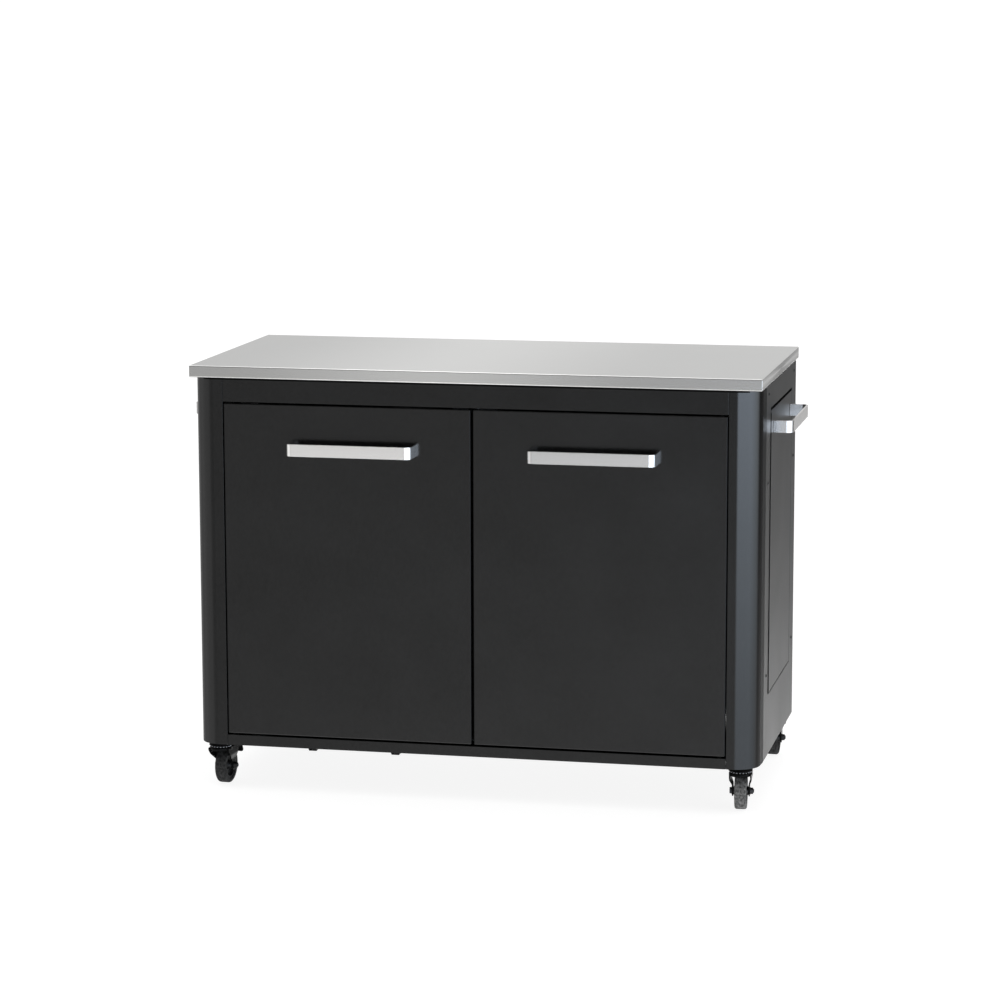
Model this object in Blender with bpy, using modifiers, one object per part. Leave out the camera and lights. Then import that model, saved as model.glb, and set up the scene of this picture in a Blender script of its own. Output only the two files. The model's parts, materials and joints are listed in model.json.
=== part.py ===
"""Outdoor kitchen table: a two-door steel cabinet on four braked casters,
with a folded stainless worktop, curved front posts and flat bar handles.

Metres, +Z up. The floor is at z = 0 and the doors face -Y. Every piece hangs
from the frame empty, whose origin lies on the floor under the middle of the
worktop's front edge, so local y is the depth behind that edge.
"""
import math

import bmesh
import bpy
from mathutils import Matrix, Vector

NAME = "outdoor_kitchen_table"

# Overall sizes
WORKTOP_WIDTH = 1.170
WORKTOP_DEPTH = 0.570
TOP_HEIGHT = 0.883
SKIRT_HEIGHT = 0.0245
SIDE_OVERHANG = 0.002
FRONT_OVERHANG = 0.010
REAR_OVERHANG = 0.025

# Clearances
FIT = 0.0003
SLIP = 0.0004
SEAM = 0.0008
DOOR_GAP = 0.004
DOOR_SIDE_GAP = 0.0023
DOOR_CENTRE_GAP = 0.005
SHADOW_GAP = 0.0015

# Sheet metal
WORKTOP_WALL = 0.0015
WORKTOP_RADIUS = 0.0018
HEM_WIDTH = 0.025
SHEET = 0.0012
DOOR_SHEET = 0.0010
FOLD_RADIUS = 0.0018

# Posts and rails
POST_FACE_WIDTH = 0.0644
POST_SIDE_DEPTH = 0.070
POST_CORNER_RADIUS = 0.046
POST_RETURN = 0.022
REAR_POST_LEG = 0.055
REAR_POST_RETURN = 0.012
TOP_RAIL_HEIGHT = 0.0485
TOP_RAIL_DEPTH = 0.042
BOTTOM_RAIL_HEIGHT = 0.0215
BOTTOM_RAIL_DEPTH = 0.022
REAR_RAIL_DEPTH = 0.022

# Worktop stiffeners: two folded hats that run across the worktop
STIFFENER_WIDTH = 0.060
STIFFENER_CROWN = 0.034

# Side panels with their inserts
SIDE_DEPTH = 0.020
WINDOW_MARGIN = 0.067
WINDOW_HEAD = 0.055
WINDOW_SILL = 0.125
INSERT_DEPTH = 0.022
INSERT_TOP_SLOT = 0.004

# Back, floor, shelf and divider
HOSE_SLOT_INSET = 0.323
HOSE_SLOT_HEIGHT = 0.640
HOSE_SLOT_WIDTH = 0.090
HOSE_SLOT_DEPTH = 0.040
DIVIDER_WIDTH = 0.020
SHELF_TOP = 0.455
SHELF_FLANGE = 0.024
SHELF_SETBACK = 0.070
BRACE_INSETS = (0.242, 0.417)
BRACE_WIDTH = 0.034
BRACE_DROP = 0.007
BRACE_SETBACK = 0.016

# Doors
DOOR_DEPTH = 0.020
DOOR_LIP = 0.010
LINER_MARGIN = 0.005
LINER_DEPTH = 0.004

# Door hinge pins
PIVOT_INSET = 0.012
PIVOT_BACK = 0.006
PIN_RADIUS = 0.003
PIN_COLLAR_RADIUS = 0.0055
PIN_REACH = 0.014

# Magnetic catches
CATCH_WIDTH = 0.034
CATCH_HEIGHT = 0.014
CATCH_DEPTH = 0.014
CATCH_OFFSET = 0.012
CATCH_RADIUS = 0.002

# Handles: one flat bar bent to a bracket, used four times
HANDLE_LENGTH = 0.260
HANDLE_HEIGHT = 0.0247
HANDLE_REACH = 0.040
HANDLE_THICKNESS = 0.004
HANDLE_RADIUS = 0.013
DOOR_HANDLE_X = 0.2475
DOOR_HANDLE_SHIFT = 0.001
DOOR_HANDLE_DROP = 0.0742
SIDE_HANDLE_DROP = 0.026
LEFT_HANDLE_ADVANCE = 0.027
LEFT_HANDLE_RISE = 0.009

# Casters: place, wheel and axle
CASTER_INSET = 0.0395
CASTER_FRONT_INSET = 0.0335
CASTER_REAR_INSET = 0.0255
CASTER_TRAIL = 0.029
WHEEL_RADIUS = 0.0375
TYRE_HALF_WIDTH = 0.01225
TYRE_SHOULDER = 0.0045
RIM_RADIUS = 0.0272
RIM_HALF_WIDTH = 0.0100
RIM_WALL = 0.0035
WEB_HALF_WIDTH = 0.0035
BOSS_RADIUS = 0.0090
BOSS_HALF_WIDTH = 0.0150
AXLE_RADIUS = 0.0040
AXLE_END = 0.008
NUT_RADIUS = 0.0068
NUT_HEIGHT = 0.006

# Casters: swivel race, crown and stem
CROWN_CLEARANCE = 0.0015
CROWN_HEIGHT = 0.0083
CROWN_RADIUS = 0.0235
RACE_HEIGHT = 0.0102
RACE_RADIUS = 0.0243
RACE_BALL_RADIUS = 0.0190
RACE_GAP = 0.0020
GROOVE_DEPTH = 0.0045
KINGPIN_RADIUS = 0.0060
STEM_RADIUS = 0.0050
STEM_LENGTH = 0.018
STEM_NUT_HEIGHT = 0.008

# Casters: fork legs
LEG_THICKNESS = 0.0025
LEG_TOP_X = 0.0225
LEG_AXLE_X = 0.0180
LEG_BEND_TOP = 0.0285
LEG_BEND_BOTTOM = 0.0145
LEG_EYE_RADIUS = 0.0115

# Casters: brake pedal, measured from its pivot
PEDAL_SETBACK = 0.009
PEDAL_RISE = 0.005
PEDAL_PIN_RADIUS = 0.0025
PEDAL_WIDTH = 0.043
PEDAL_SHEET = 0.0025
PEDAL_REACH = 0.0375
PEDAL_CORNER = 0.005
CHEEK_OUTER_X = 0.0190
EAR_RADIUS = 0.0055
PAD_Y = 0.012
PAD_DROP = 0.006
PAD_RADIUS = 0.0030

# How far each caster stands turned from straight ahead, in degrees
CASTER_TURN = {"front_left": -4.0, "front_right": 5.0, "rear_left": 0.0, "rear_right": 0.0}

# Facets of round pieces
TYRE_STEPS = 24
STEPS = 20
SMALL_STEPS = 14

# Heights of the caster, then of the cabinet on it
CROWN_BOTTOM = 2 * WHEEL_RADIUS + CROWN_CLEARANCE
CROWN_TOP = CROWN_BOTTOM + CROWN_HEIGHT
CASTER_HEIGHT = CROWN_TOP + RACE_HEIGHT
HEM_BOTTOM = TOP_HEIGHT - SKIRT_HEIGHT
CABINET_TOP = HEM_BOTTOM - FIT
TOP_RAIL_BOTTOM = CABINET_TOP - TOP_RAIL_HEIGHT
FLOOR_TOP = CASTER_HEIGHT + BOTTOM_RAIL_HEIGHT
DOOR_TOP = TOP_RAIL_BOTTOM - DOOR_GAP
DOOR_BOTTOM = FLOOR_TOP + DOOR_GAP
WINDOW_TOP = CABINET_TOP - WINDOW_HEAD
WINDOW_BOTTOM = CASTER_HEIGHT + WINDOW_SILL
DOOR_HANDLE_TOP = DOOR_TOP - DOOR_HANDLE_DROP
SIDE_HANDLE_TOP = WINDOW_TOP - SIDE_HANDLE_DROP

# Widths, as distances from the middle
HALF_CABINET = WORKTOP_WIDTH / 2 - SIDE_OVERHANG
POST_INNER_X = HALF_CABINET - POST_FACE_WIDTH
RAIL_END_X = POST_INNER_X - SEAM
DOOR_OUTER_X = POST_INNER_X - DOOR_SIDE_GAP
DOOR_INNER_X = DOOR_CENTRE_GAP / 2
REAR_POST_X = HALF_CABINET - SHEET - FIT
REAR_POST_INNER_X = REAR_POST_X - REAR_POST_LEG
BACK_HALF_WIDTH = HALF_CABINET - SIDE_DEPTH - SLIP
CASTER_X = HALF_CABINET - CASTER_INSET

# Depths behind the worktop's front edge
CABINET_FRONT = FRONT_OVERHANG
CABINET_REAR = WORKTOP_DEPTH - REAR_OVERHANG
POST_SEAM_Y = CABINET_FRONT + POST_SIDE_DEPTH
SIDE_FRONT = POST_SEAM_Y + SEAM
REAR_POST_Y = CABINET_REAR - SHEET - FIT
REAR_POST_INNER_Y = REAR_POST_Y - REAR_POST_LEG
BAY_REAR = REAR_POST_Y - FIT
DIVIDER_FRONT = CABINET_FRONT + TOP_RAIL_DEPTH + SLIP
WINDOW_FRONT = SIDE_FRONT + WINDOW_MARGIN
WINDOW_REAR = CABINET_REAR - WINDOW_MARGIN
DOOR_REAR = CABINET_FRONT + DOOR_DEPTH
LINER_REAR = DOOR_REAR + FIT + LINER_DEPTH
CASTER_FRONT_Y = CABINET_FRONT + CASTER_FRONT_INSET
CASTER_REAR_Y = CABINET_REAR - CASTER_REAR_INSET
PEDAL_PIVOT = (CASTER_TRAIL + PEDAL_SETBACK, CROWN_BOTTOM + PEDAL_RISE)

# The frame empty stands so that the bounding box is centred in depth
REACH_FRONT = CABINET_FRONT - HANDLE_REACH
REACH_REAR = CASTER_REAR_Y + CASTER_TRAIL + PEDAL_SETBACK + PEDAL_REACH
FRAME_Y = -(REACH_FRONT + REACH_REAR) / 2

# Finishes: colour, metallic, roughness
FINISHES = {
    "stainless": ((0.62, 0.62, 0.61), 1.0, 0.28),
    "powder_coat": ((0.028, 0.028, 0.030), 0.0, 0.55),
    "side_coat": ((0.060, 0.060, 0.062), 0.0, 0.50),
    "zinc_steel": ((0.45, 0.46, 0.47), 1.0, 0.40),
    "caster_steel": ((0.015, 0.015, 0.016), 0.6, 0.35),
    "tyre_rubber": ((0.060, 0.060, 0.062), 0.0, 0.70),
    "hub_plastic": ((0.020, 0.020, 0.022), 0.0, 0.45),
    "catch_plastic": ((0.030, 0.030, 0.030), 0.0, 0.50),
}

MODEL = bpy.data.collections.new(NAME)
CUTTERS = bpy.data.collections.new(NAME + "_cutters")


def clear_scene():
    for obj in list(bpy.data.objects):
        bpy.data.objects.remove(obj, do_unlink=True)
    bpy.context.scene.collection.children.link(MODEL)
    bpy.context.scene.collection.children.link(CUTTERS)


def finish(slot):
    """Return the named material, made on first use."""
    found = bpy.data.materials.get(slot)
    if found:
        return found
    color, metallic, roughness = FINISHES[slot]
    made = bpy.data.materials.new(slot)
    made.use_nodes = True
    shader = made.node_tree.nodes["Principled BSDF"]
    shader.inputs["Base Color"].default_value = (*color, 1.0)
    shader.inputs["Metallic"].default_value = metallic
    shader.inputs["Roughness"].default_value = roughness
    return made


def empty(name, parent, location, turn=0.0):
    made = bpy.data.objects.new(name, None)
    made.empty_display_size = 0.05
    made.parent = parent
    made.location = location
    made.rotation_euler = (0.0, 0.0, math.radians(turn))
    MODEL.objects.link(made)
    return made


def piece(name, mesh, slot, parent, location=(0.0, 0.0, 0.0), rotation=(0.0, 0.0, 0.0)):
    """Put a mesh into the model as one named sub-part."""
    mesh.materials.clear()
    mesh.materials.append(finish(slot))
    mesh.shade_smooth()
    mesh.set_sharp_from_angle(angle=math.radians(32))
    made = bpy.data.objects.new(name, mesh)
    made.parent = parent
    made.location = location
    made.rotation_euler = rotation
    MODEL.objects.link(made)
    return made


def to_mesh(name, bm):
    mesh = bpy.data.meshes.new(name)
    bm.to_mesh(mesh)
    bm.free()
    return mesh


def solidified(name, bm, wall):
    """Thicken an open sheet behind its outer face and return the mesh."""
    sheet = bpy.data.objects.new(name + "_sheet", to_mesh(name + "_sheet", bm))
    CUTTERS.objects.link(sheet)
    thick = sheet.modifiers.new("wall", "SOLIDIFY")
    thick.thickness = wall
    thick.offset = -1.0
    thick.solidify_mode = "NON_MANIFOLD"
    thick.nonmanifold_thickness_mode = "CONSTRAINTS"
    return baked(name, sheet)


def baked(name, obj):
    """Return the object's evaluated mesh and remove the object."""
    graph = bpy.context.evaluated_depsgraph_get()
    mesh = bpy.data.meshes.new_from_object(obj.evaluated_get(graph), depsgraph=graph)
    mesh.name = name
    bpy.data.objects.remove(obj, do_unlink=True)
    return mesh


def combined(name, base, others, operation):
    """Join tools to a base mesh, or cut them from it, and return the mesh."""
    body = bpy.data.objects.new(name + "_body", base)
    CUTTERS.objects.link(body)
    tools = []
    for index, mesh in enumerate(others):
        tool = bpy.data.objects.new(f"{name}_tool_{index}", mesh)
        tool.hide_render = True
        tool.display_type = "WIRE"
        CUTTERS.objects.link(tool)
        step = body.modifiers.new(f"step_{index}", "BOOLEAN")
        step.operation = operation
        step.solver = "EXACT"
        step.object = tool
        tools.append(tool)
    mesh = baked(name, body)
    for tool in tools:
        bpy.data.objects.remove(tool, do_unlink=True)
    return mesh


def facing(bm, normal):
    """Faces whose normal lies along the given direction."""
    direction = Vector(normal)
    return [face for face in bm.faces if face.normal.dot(direction) > 0.99]


def tray(name, size, open_sides, wall, lip=0.0, radius=0.0):
    """A folded box around its own centre, open on the named sides.

    A lip turns inward round the first open side. The outer folds that do not
    touch an open side are rounded by the radius.
    """
    bm = bmesh.new()
    bmesh.ops.create_cube(bm, size=1.0, matrix=Matrix.Diagonal((*size, 1.0)))
    openings = [face for side in open_sides for face in facing(bm, side)]
    folds = [edge for edge in bm.edges if not any(face in openings for face in edge.link_faces)]
    if lip:
        bmesh.ops.inset_region(bm, faces=openings[:1], thickness=lip, use_even_offset=True)
    bmesh.ops.delete(bm, geom=openings, context="FACES")
    if radius:
        bmesh.ops.bevel(bm, geom=folds, offset=radius, segments=2, profile=0.5, affect="EDGES")
    return solidified(name, bm, wall)


def folded_outline(name, outline, z_face, z_end, wall, open_edges=()):
    """A flat face on an outline, with a wall folded up or down from its edges.

    Edge i runs from point i to the next point. The open edges get no wall.
    """
    bm = bmesh.new()
    base = bm.faces.new([bm.verts.new((x, y, z_face)) for x, y in outline])
    walls = [edge for index, edge in enumerate(base.edges) if index not in open_edges]
    grown = bmesh.ops.extrude_edge_only(bm, edges=walls)
    moved = [item for item in grown["geom"] if isinstance(item, bmesh.types.BMVert)]
    bmesh.ops.translate(bm, verts=moved, vec=(0.0, 0.0, z_end - z_face))
    bmesh.ops.recalc_face_normals(bm, faces=bm.faces)
    base.normal_update()
    if (base.normal.z > 0.0) == (z_end > z_face):
        bmesh.ops.reverse_faces(bm, faces=bm.faces)
    return solidified(name, bm, wall)


def bent_strip(name, points, along, wall):
    """A strip bent through the points and as wide as the vector along it.

    The metal lies on the side of along x direction of travel.
    """
    bm = bmesh.new()
    verts = [bm.verts.new(point) for point in points]
    edges = [bm.edges.new(pair) for pair in zip(verts, verts[1:])]
    grown = bmesh.ops.extrude_edge_only(bm, edges=edges)
    moved = [item for item in grown["geom"] if isinstance(item, bmesh.types.BMVert)]
    bmesh.ops.translate(bm, verts=moved, vec=along)
    bmesh.ops.recalc_face_normals(bm, faces=bm.faces)
    first = next(face for face in bm.faces if edges[0] in face.edges)
    travel = Vector(points[1]) - Vector(points[0])
    if first.normal.dot(travel.cross(Vector(along))) < 0.0:
        bmesh.ops.reverse_faces(bm, faces=bm.faces)
    return solidified(name, bm, wall)


def plate(name, outline, low, high, axis="Z"):
    """A flat outline extruded from low to high along Z or X."""
    bm = bmesh.new()
    if axis == "X":
        ring = [bm.verts.new((low, a, b)) for a, b in outline]
        push = (high - low, 0.0, 0.0)
    else:
        ring = [bm.verts.new((a, b, low)) for a, b in outline]
        push = (0.0, 0.0, high - low)
    base = bm.faces.new(ring)
    grown = bmesh.ops.extrude_face_region(bm, geom=[base])
    moved = [item for item in grown["geom"] if isinstance(item, bmesh.types.BMVert)]
    bmesh.ops.translate(bm, verts=moved, vec=push)
    bmesh.ops.recalc_face_normals(bm, faces=bm.faces)
    return to_mesh(name, bm)


def block(name, low, high):
    """A plain box between two corners."""
    centre = (Vector(low) + Vector(high)) / 2
    size = Vector(high) - Vector(low)
    bm = bmesh.new()
    place = Matrix.Translation(centre) @ Matrix.Diagonal((*size, 1.0))
    bmesh.ops.create_cube(bm, size=1.0, matrix=place)
    return to_mesh(name, bm)


def rod(name, radius, start, end, segments=SMALL_STEPS):
    """A round or hexagonal bar between two points."""
    start = Vector(start)
    end = Vector(end)
    turn = (end - start).to_track_quat("Z", "Y").to_matrix().to_4x4()
    bm = bmesh.new()
    bmesh.ops.create_cone(
        bm, cap_ends=True, segments=segments, radius1=radius, radius2=radius,
        depth=(end - start).length, matrix=Matrix.Translation((start + end) / 2) @ turn,
    )
    return to_mesh(name, bm)


def turned(name, profile, steps=STEPS, closed=False):
    """A profile of (radius, height) points, outer side down, turned about Z."""
    bm = bmesh.new()
    verts = [bm.verts.new((radius, 0.0, height)) for radius, height in profile]
    for pair in zip(verts, verts[1:]):
        bm.edges.new(pair)
    if closed:
        bm.edges.new((verts[-1], verts[0]))
    shape = bpy.data.objects.new(name + "_profile", to_mesh(name + "_profile", bm))
    CUTTERS.objects.link(shape)
    spin = shape.modifiers.new("turn", "SCREW")
    spin.steps = steps
    spin.render_steps = steps
    spin.use_merge_vertices = True
    spin.merge_threshold = 0.00002
    return baked(name, shape)


def arc(centre, radius, start, end, segments):
    """Points on an arc between two angles in degrees."""
    points = []
    for index in range(segments + 1):
        angle = math.radians(start + (end - start) * index / segments)
        points.append((centre[0] + radius * math.cos(angle), centre[1] + radius * math.sin(angle)))
    return points


def mirrored(outline, side):
    return [(side * x, y) for x, y in outline]


def sides():
    return (("left", -1), ("right", 1))


def build_worktop(frame):
    size = (WORKTOP_WIDTH, WORKTOP_DEPTH, SKIRT_HEIGHT)
    mesh = tray("worktop_skin", size, [(0, 0, -1)], WORKTOP_WALL, HEM_WIDTH, WORKTOP_RADIUS)
    centre = (0.0, WORKTOP_DEPTH / 2, TOP_HEIGHT - SKIRT_HEIGHT / 2)
    piece("worktop_skin", mesh, "stainless", frame, centre)
    half = STIFFENER_WIDTH / 2
    crown = STIFFENER_CROWN / 2
    top = TOP_HEIGHT - WORKTOP_WALL - FIT
    bottom = HEM_BOTTOM + WORKTOP_WALL + FIT + SHEET
    reach = WORKTOP_WIDTH / 2 - WORKTOP_RADIUS - SLIP
    for label, depth in (("front", WORKTOP_DEPTH / 3), ("rear", WORKTOP_DEPTH * 2 / 3)):
        hat = [(half, top), (crown, top), (crown, bottom), (-crown, bottom), (-crown, top), (-half, top)]
        points = [(-reach, depth + y, z) for y, z in hat]
        mesh = bent_strip(f"worktop_stiffener_{label}", points, (2 * reach, 0.0, 0.0), SHEET)
        piece(f"worktop_stiffener_{label}", mesh, "zinc_steel", frame)


def front_post_outline():
    """Plan of the right post: return flange, face, round corner, side, return."""
    corner = (HALF_CABINET - POST_CORNER_RADIUS, CABINET_FRONT + POST_CORNER_RADIUS)
    points = [(POST_INNER_X, CABINET_FRONT + POST_RETURN), (POST_INNER_X, CABINET_FRONT)]
    points += arc(corner, POST_CORNER_RADIUS, -90, 0, 10)
    points += arc((HALF_CABINET - FOLD_RADIUS, POST_SEAM_Y - FOLD_RADIUS), FOLD_RADIUS, 0, 90, 2)
    return points + [(HALF_CABINET - POST_RETURN, POST_SEAM_Y)]


def rear_post_outline():
    return [
        (REAR_POST_INNER_X, REAR_POST_Y - REAR_POST_RETURN), (REAR_POST_INNER_X, REAR_POST_Y),
        (REAR_POST_X, REAR_POST_Y), (REAR_POST_X, REAR_POST_INNER_Y),
        (REAR_POST_X - REAR_POST_RETURN, REAR_POST_INNER_Y),
    ]


def build_posts(frame):
    """Folded posts, each closed below by a foot with the caster's stem hole."""
    for label, side in sides():
        for row, outline, depth in (
            ("front", front_post_outline(), CASTER_FRONT_Y),
            ("rear", rear_post_outline(), CASTER_REAR_Y),
        ):
            name = f"{row}_post_{label}"
            chord = (len(outline) - 1,)
            shell = folded_outline(name, mirrored(outline, side), CASTER_HEIGHT, CABINET_TOP, SHEET, chord)
            hole = rod(
                "hole", STEM_RADIUS + FIT, (side * CASTER_X, depth, CASTER_HEIGHT - SHEET),
                (side * CASTER_X, depth, CASTER_HEIGHT + 2 * SHEET),
            )
            piece(name, combined(name, shell, [hole], "DIFFERENCE"), "powder_coat", frame)


def pin_hole(side, low, high):
    """A cutter for the hinge pin, upright at the door's pivot."""
    x = side * (DOOR_OUTER_X - PIVOT_INSET)
    y = CABINET_FRONT + PIVOT_BACK
    return rod("pin_hole", PIN_RADIUS + FIT, (x, y, low), (x, y, high))


def moved_mesh(mesh, offset):
    mesh.transform(Matrix.Translation(offset))
    return mesh


def build_rails(frame):
    rail_top = CABINET_TOP - SHADOW_GAP
    size = (2 * RAIL_END_X, TOP_RAIL_DEPTH, rail_top - TOP_RAIL_BOTTOM)
    mesh = tray("top_rail", size, [(0, 1, 0)], SHEET)
    centre = (0.0, CABINET_FRONT + TOP_RAIL_DEPTH / 2, (rail_top + TOP_RAIL_BOTTOM) / 2)
    low = TOP_RAIL_BOTTOM - SHEET
    holes = [pin_hole(side, low, low + 3 * SHEET) for _, side in sides()]
    mesh = combined("top_rail", moved_mesh(mesh, centre), holes, "DIFFERENCE")
    piece("top_rail", mesh, "powder_coat", frame)

    size = (2 * RAIL_END_X, BOTTOM_RAIL_DEPTH, BOTTOM_RAIL_HEIGHT)
    mesh = tray("bottom_rail", size, [(0, 1, 0)], SHEET)
    centre = (0.0, CABINET_FRONT + BOTTOM_RAIL_DEPTH / 2, CASTER_HEIGHT + BOTTOM_RAIL_HEIGHT / 2)
    low = FLOOR_TOP - 2 * SHEET
    holes = [pin_hole(side, low, low + 3 * SHEET) for _, side in sides()]
    mesh = combined("bottom_rail", moved_mesh(mesh, centre), holes, "DIFFERENCE")
    piece("bottom_rail", mesh, "powder_coat", frame)

    end = REAR_POST_INNER_X - SLIP
    size = (2 * end, REAR_RAIL_DEPTH, CABINET_TOP - TOP_RAIL_BOTTOM)
    mesh = tray("rear_rail", size, [(0, -1, 0)], SHEET)
    centre = (0.0, REAR_POST_Y - REAR_RAIL_DEPTH / 2, (CABINET_TOP + TOP_RAIL_BOTTOM) / 2)
    piece("rear_rail", mesh, "powder_coat", frame, centre)


def build_side_panels(frame):
    for label, side in sides():
        name = f"side_panel_{label}"
        size = (SIDE_DEPTH, CABINET_REAR - SIDE_FRONT, CABINET_TOP - SHADOW_GAP - CASTER_HEIGHT)
        mesh = tray(name, size, [(-side, 0, 0), (0, 0, 1), (0, 0, -1)], SHEET, 0.0, FOLD_RADIUS)
        centre = (
            side * (HALF_CABINET - SIDE_DEPTH / 2), (SIDE_FRONT + CABINET_REAR) / 2,
            (CABINET_TOP - SHADOW_GAP + CASTER_HEIGHT) / 2,
        )
        window = block(
            "window", (side * HALF_CABINET - 2 * SHEET, WINDOW_FRONT, WINDOW_BOTTOM),
            (side * HALF_CABINET + 2 * SHEET, WINDOW_REAR, WINDOW_TOP),
        )
        mesh = combined(name, moved_mesh(mesh, centre), [window], "DIFFERENCE")
        piece(name, mesh, "side_coat", frame)

        insert_top = WINDOW_TOP - INSERT_TOP_SLOT
        insert_bottom = WINDOW_BOTTOM + SEAM
        insert_width = WINDOW_REAR - WINDOW_FRONT - 2 * SEAM
        size = (INSERT_DEPTH, insert_width, insert_top - insert_bottom)
        mesh = tray(f"side_insert_{label}", size, [(-side, 0, 0)], SHEET, 0.0, FOLD_RADIUS)
        centre = (
            side * (HALF_CABINET - INSERT_DEPTH / 2), (WINDOW_FRONT + WINDOW_REAR) / 2,
            (insert_top + insert_bottom) / 2,
        )
        piece(f"side_insert_{label}", mesh, "side_coat", frame, centre)


def build_floor(frame):
    """The notched floor tray, the shelf, the divider and the two floor braces."""
    side_x = HALF_CABINET - SIDE_DEPTH - SLIP
    front_y = CABINET_FRONT + BOTTOM_RAIL_DEPTH + SLIP
    notch_front_y = POST_SEAM_Y + SLIP
    notch_rear_x = REAR_POST_INNER_X - SLIP
    notch_rear_y = REAR_POST_INNER_Y - SLIP
    right = [
        (RAIL_END_X, front_y), (RAIL_END_X, notch_front_y), (side_x, notch_front_y),
        (side_x, notch_rear_y), (notch_rear_x, notch_rear_y), (notch_rear_x, BAY_REAR),
    ]
    outline = right + mirrored(reversed(right), -1)
    mesh = folded_outline("floor_panel", outline, FLOOR_TOP, CASTER_HEIGHT + 2 * FIT, SHEET)
    piece("floor_panel", mesh, "powder_coat", frame)

    shelf_x = HALF_CABINET - INSERT_DEPTH - SLIP
    divider_x = DIVIDER_WIDTH / 2 + SLIP
    shelf_front = CABINET_FRONT + SHELF_SETBACK
    outline = [
        (divider_x, shelf_front), (shelf_x, shelf_front), (shelf_x, notch_rear_y),
        (notch_rear_x, notch_rear_y), (notch_rear_x, BAY_REAR), (divider_x, BAY_REAR),
    ]
    mesh = folded_outline("shelf", outline, SHELF_TOP, SHELF_TOP - SHELF_FLANGE, SHEET)
    piece("shelf", mesh, "powder_coat", frame)

    bottom = FLOOR_TOP + FIT
    top = TOP_RAIL_BOTTOM - SLIP
    size = (DIVIDER_WIDTH, BAY_REAR - DIVIDER_FRONT, top - bottom)
    mesh = tray("divider_panel", size, [(-1, 0, 0)], SHEET)
    centre = (0.0, (DIVIDER_FRONT + BAY_REAR) / 2, (top + bottom) / 2)
    piece("divider_panel", mesh, "powder_coat", frame, centre)

    half = BRACE_WIDTH / 2
    crown = half * 0.6
    foot = crown * 0.7
    top = CASTER_HEIGHT - FIT
    low = CASTER_HEIGHT - BRACE_DROP
    front = CABINET_FRONT + BRACE_SETBACK
    for label, inset in zip(("left", "right"), BRACE_INSETS):
        x = inset - HALF_CABINET
        hat = [(-half, top), (-crown, top), (-foot, low), (foot, low), (crown, top), (half, top)]
        points = [(x + a, front, z) for a, z in hat]
        mesh = bent_strip(f"floor_brace_{label}", points, (0.0, BAY_REAR - front, 0.0), SHEET)
        piece(f"floor_brace_{label}", mesh, "powder_coat", frame)


def build_back(frame):
    """A flat back panel with one round-ended slot for a gas hose."""
    sheet = block(
        "back_panel", (-BACK_HALF_WIDTH, CABINET_REAR - SHEET, CASTER_HEIGHT),
        (BACK_HALF_WIDTH, CABINET_REAR, CABINET_TOP - SHADOW_GAP),
    )
    radius = HOSE_SLOT_DEPTH / 2
    reach = HOSE_SLOT_WIDTH / 2 - radius
    middle = HOSE_SLOT_INSET - HALF_CABINET
    outline = arc((middle + reach, HOSE_SLOT_HEIGHT), radius, -90, 90, 6)
    outline += arc((middle - reach, HOSE_SLOT_HEIGHT), radius, 90, 270, 6)
    slot = plate("slot", outline, -2 * SHEET, 2 * SHEET)
    slot.transform(Matrix.Translation((0.0, CABINET_REAR, 0.0)) @ Matrix.Rotation(math.radians(90), 4, "X"))
    piece("back_panel", combined("back_panel", sheet, [slot], "DIFFERENCE"), "powder_coat", frame)


def handle_mesh(name):
    """A flat bar bent to a bracket: it stands off along -Y, upright along Z."""
    half = HANDLE_LENGTH / 2
    depth = -HANDLE_REACH
    inner = half - HANDLE_RADIUS
    points = [(-half, -FIT)]
    points += arc((-inner, depth + HANDLE_RADIUS), HANDLE_RADIUS, 180, 270, 5)
    points += arc((inner, depth + HANDLE_RADIUS), HANDLE_RADIUS, -90, 0, 5)
    points += [(half, -FIT)]
    path = [(x, y, -HANDLE_HEIGHT / 2) for x, y in points]
    return bent_strip(name, path, (0.0, 0.0, HANDLE_HEIGHT), HANDLE_THICKNESS)


def build_side_handles(frame):
    """The left handle stands a little further forward and higher than the right one."""
    middle = (WINDOW_FRONT + WINDOW_REAR) / 2
    height = SIDE_HANDLE_TOP - HANDLE_HEIGHT / 2
    places = {"left": (middle - LEFT_HANDLE_ADVANCE, height + LEFT_HANDLE_RISE), "right": (middle, height)}
    for label, side in sides():
        name = f"side_handle_{label}"
        turn = (0.0, 0.0, side * math.radians(90))
        piece(name, handle_mesh(name), "stainless", frame, (side * HALF_CABINET, *places[label]), turn)


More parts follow.
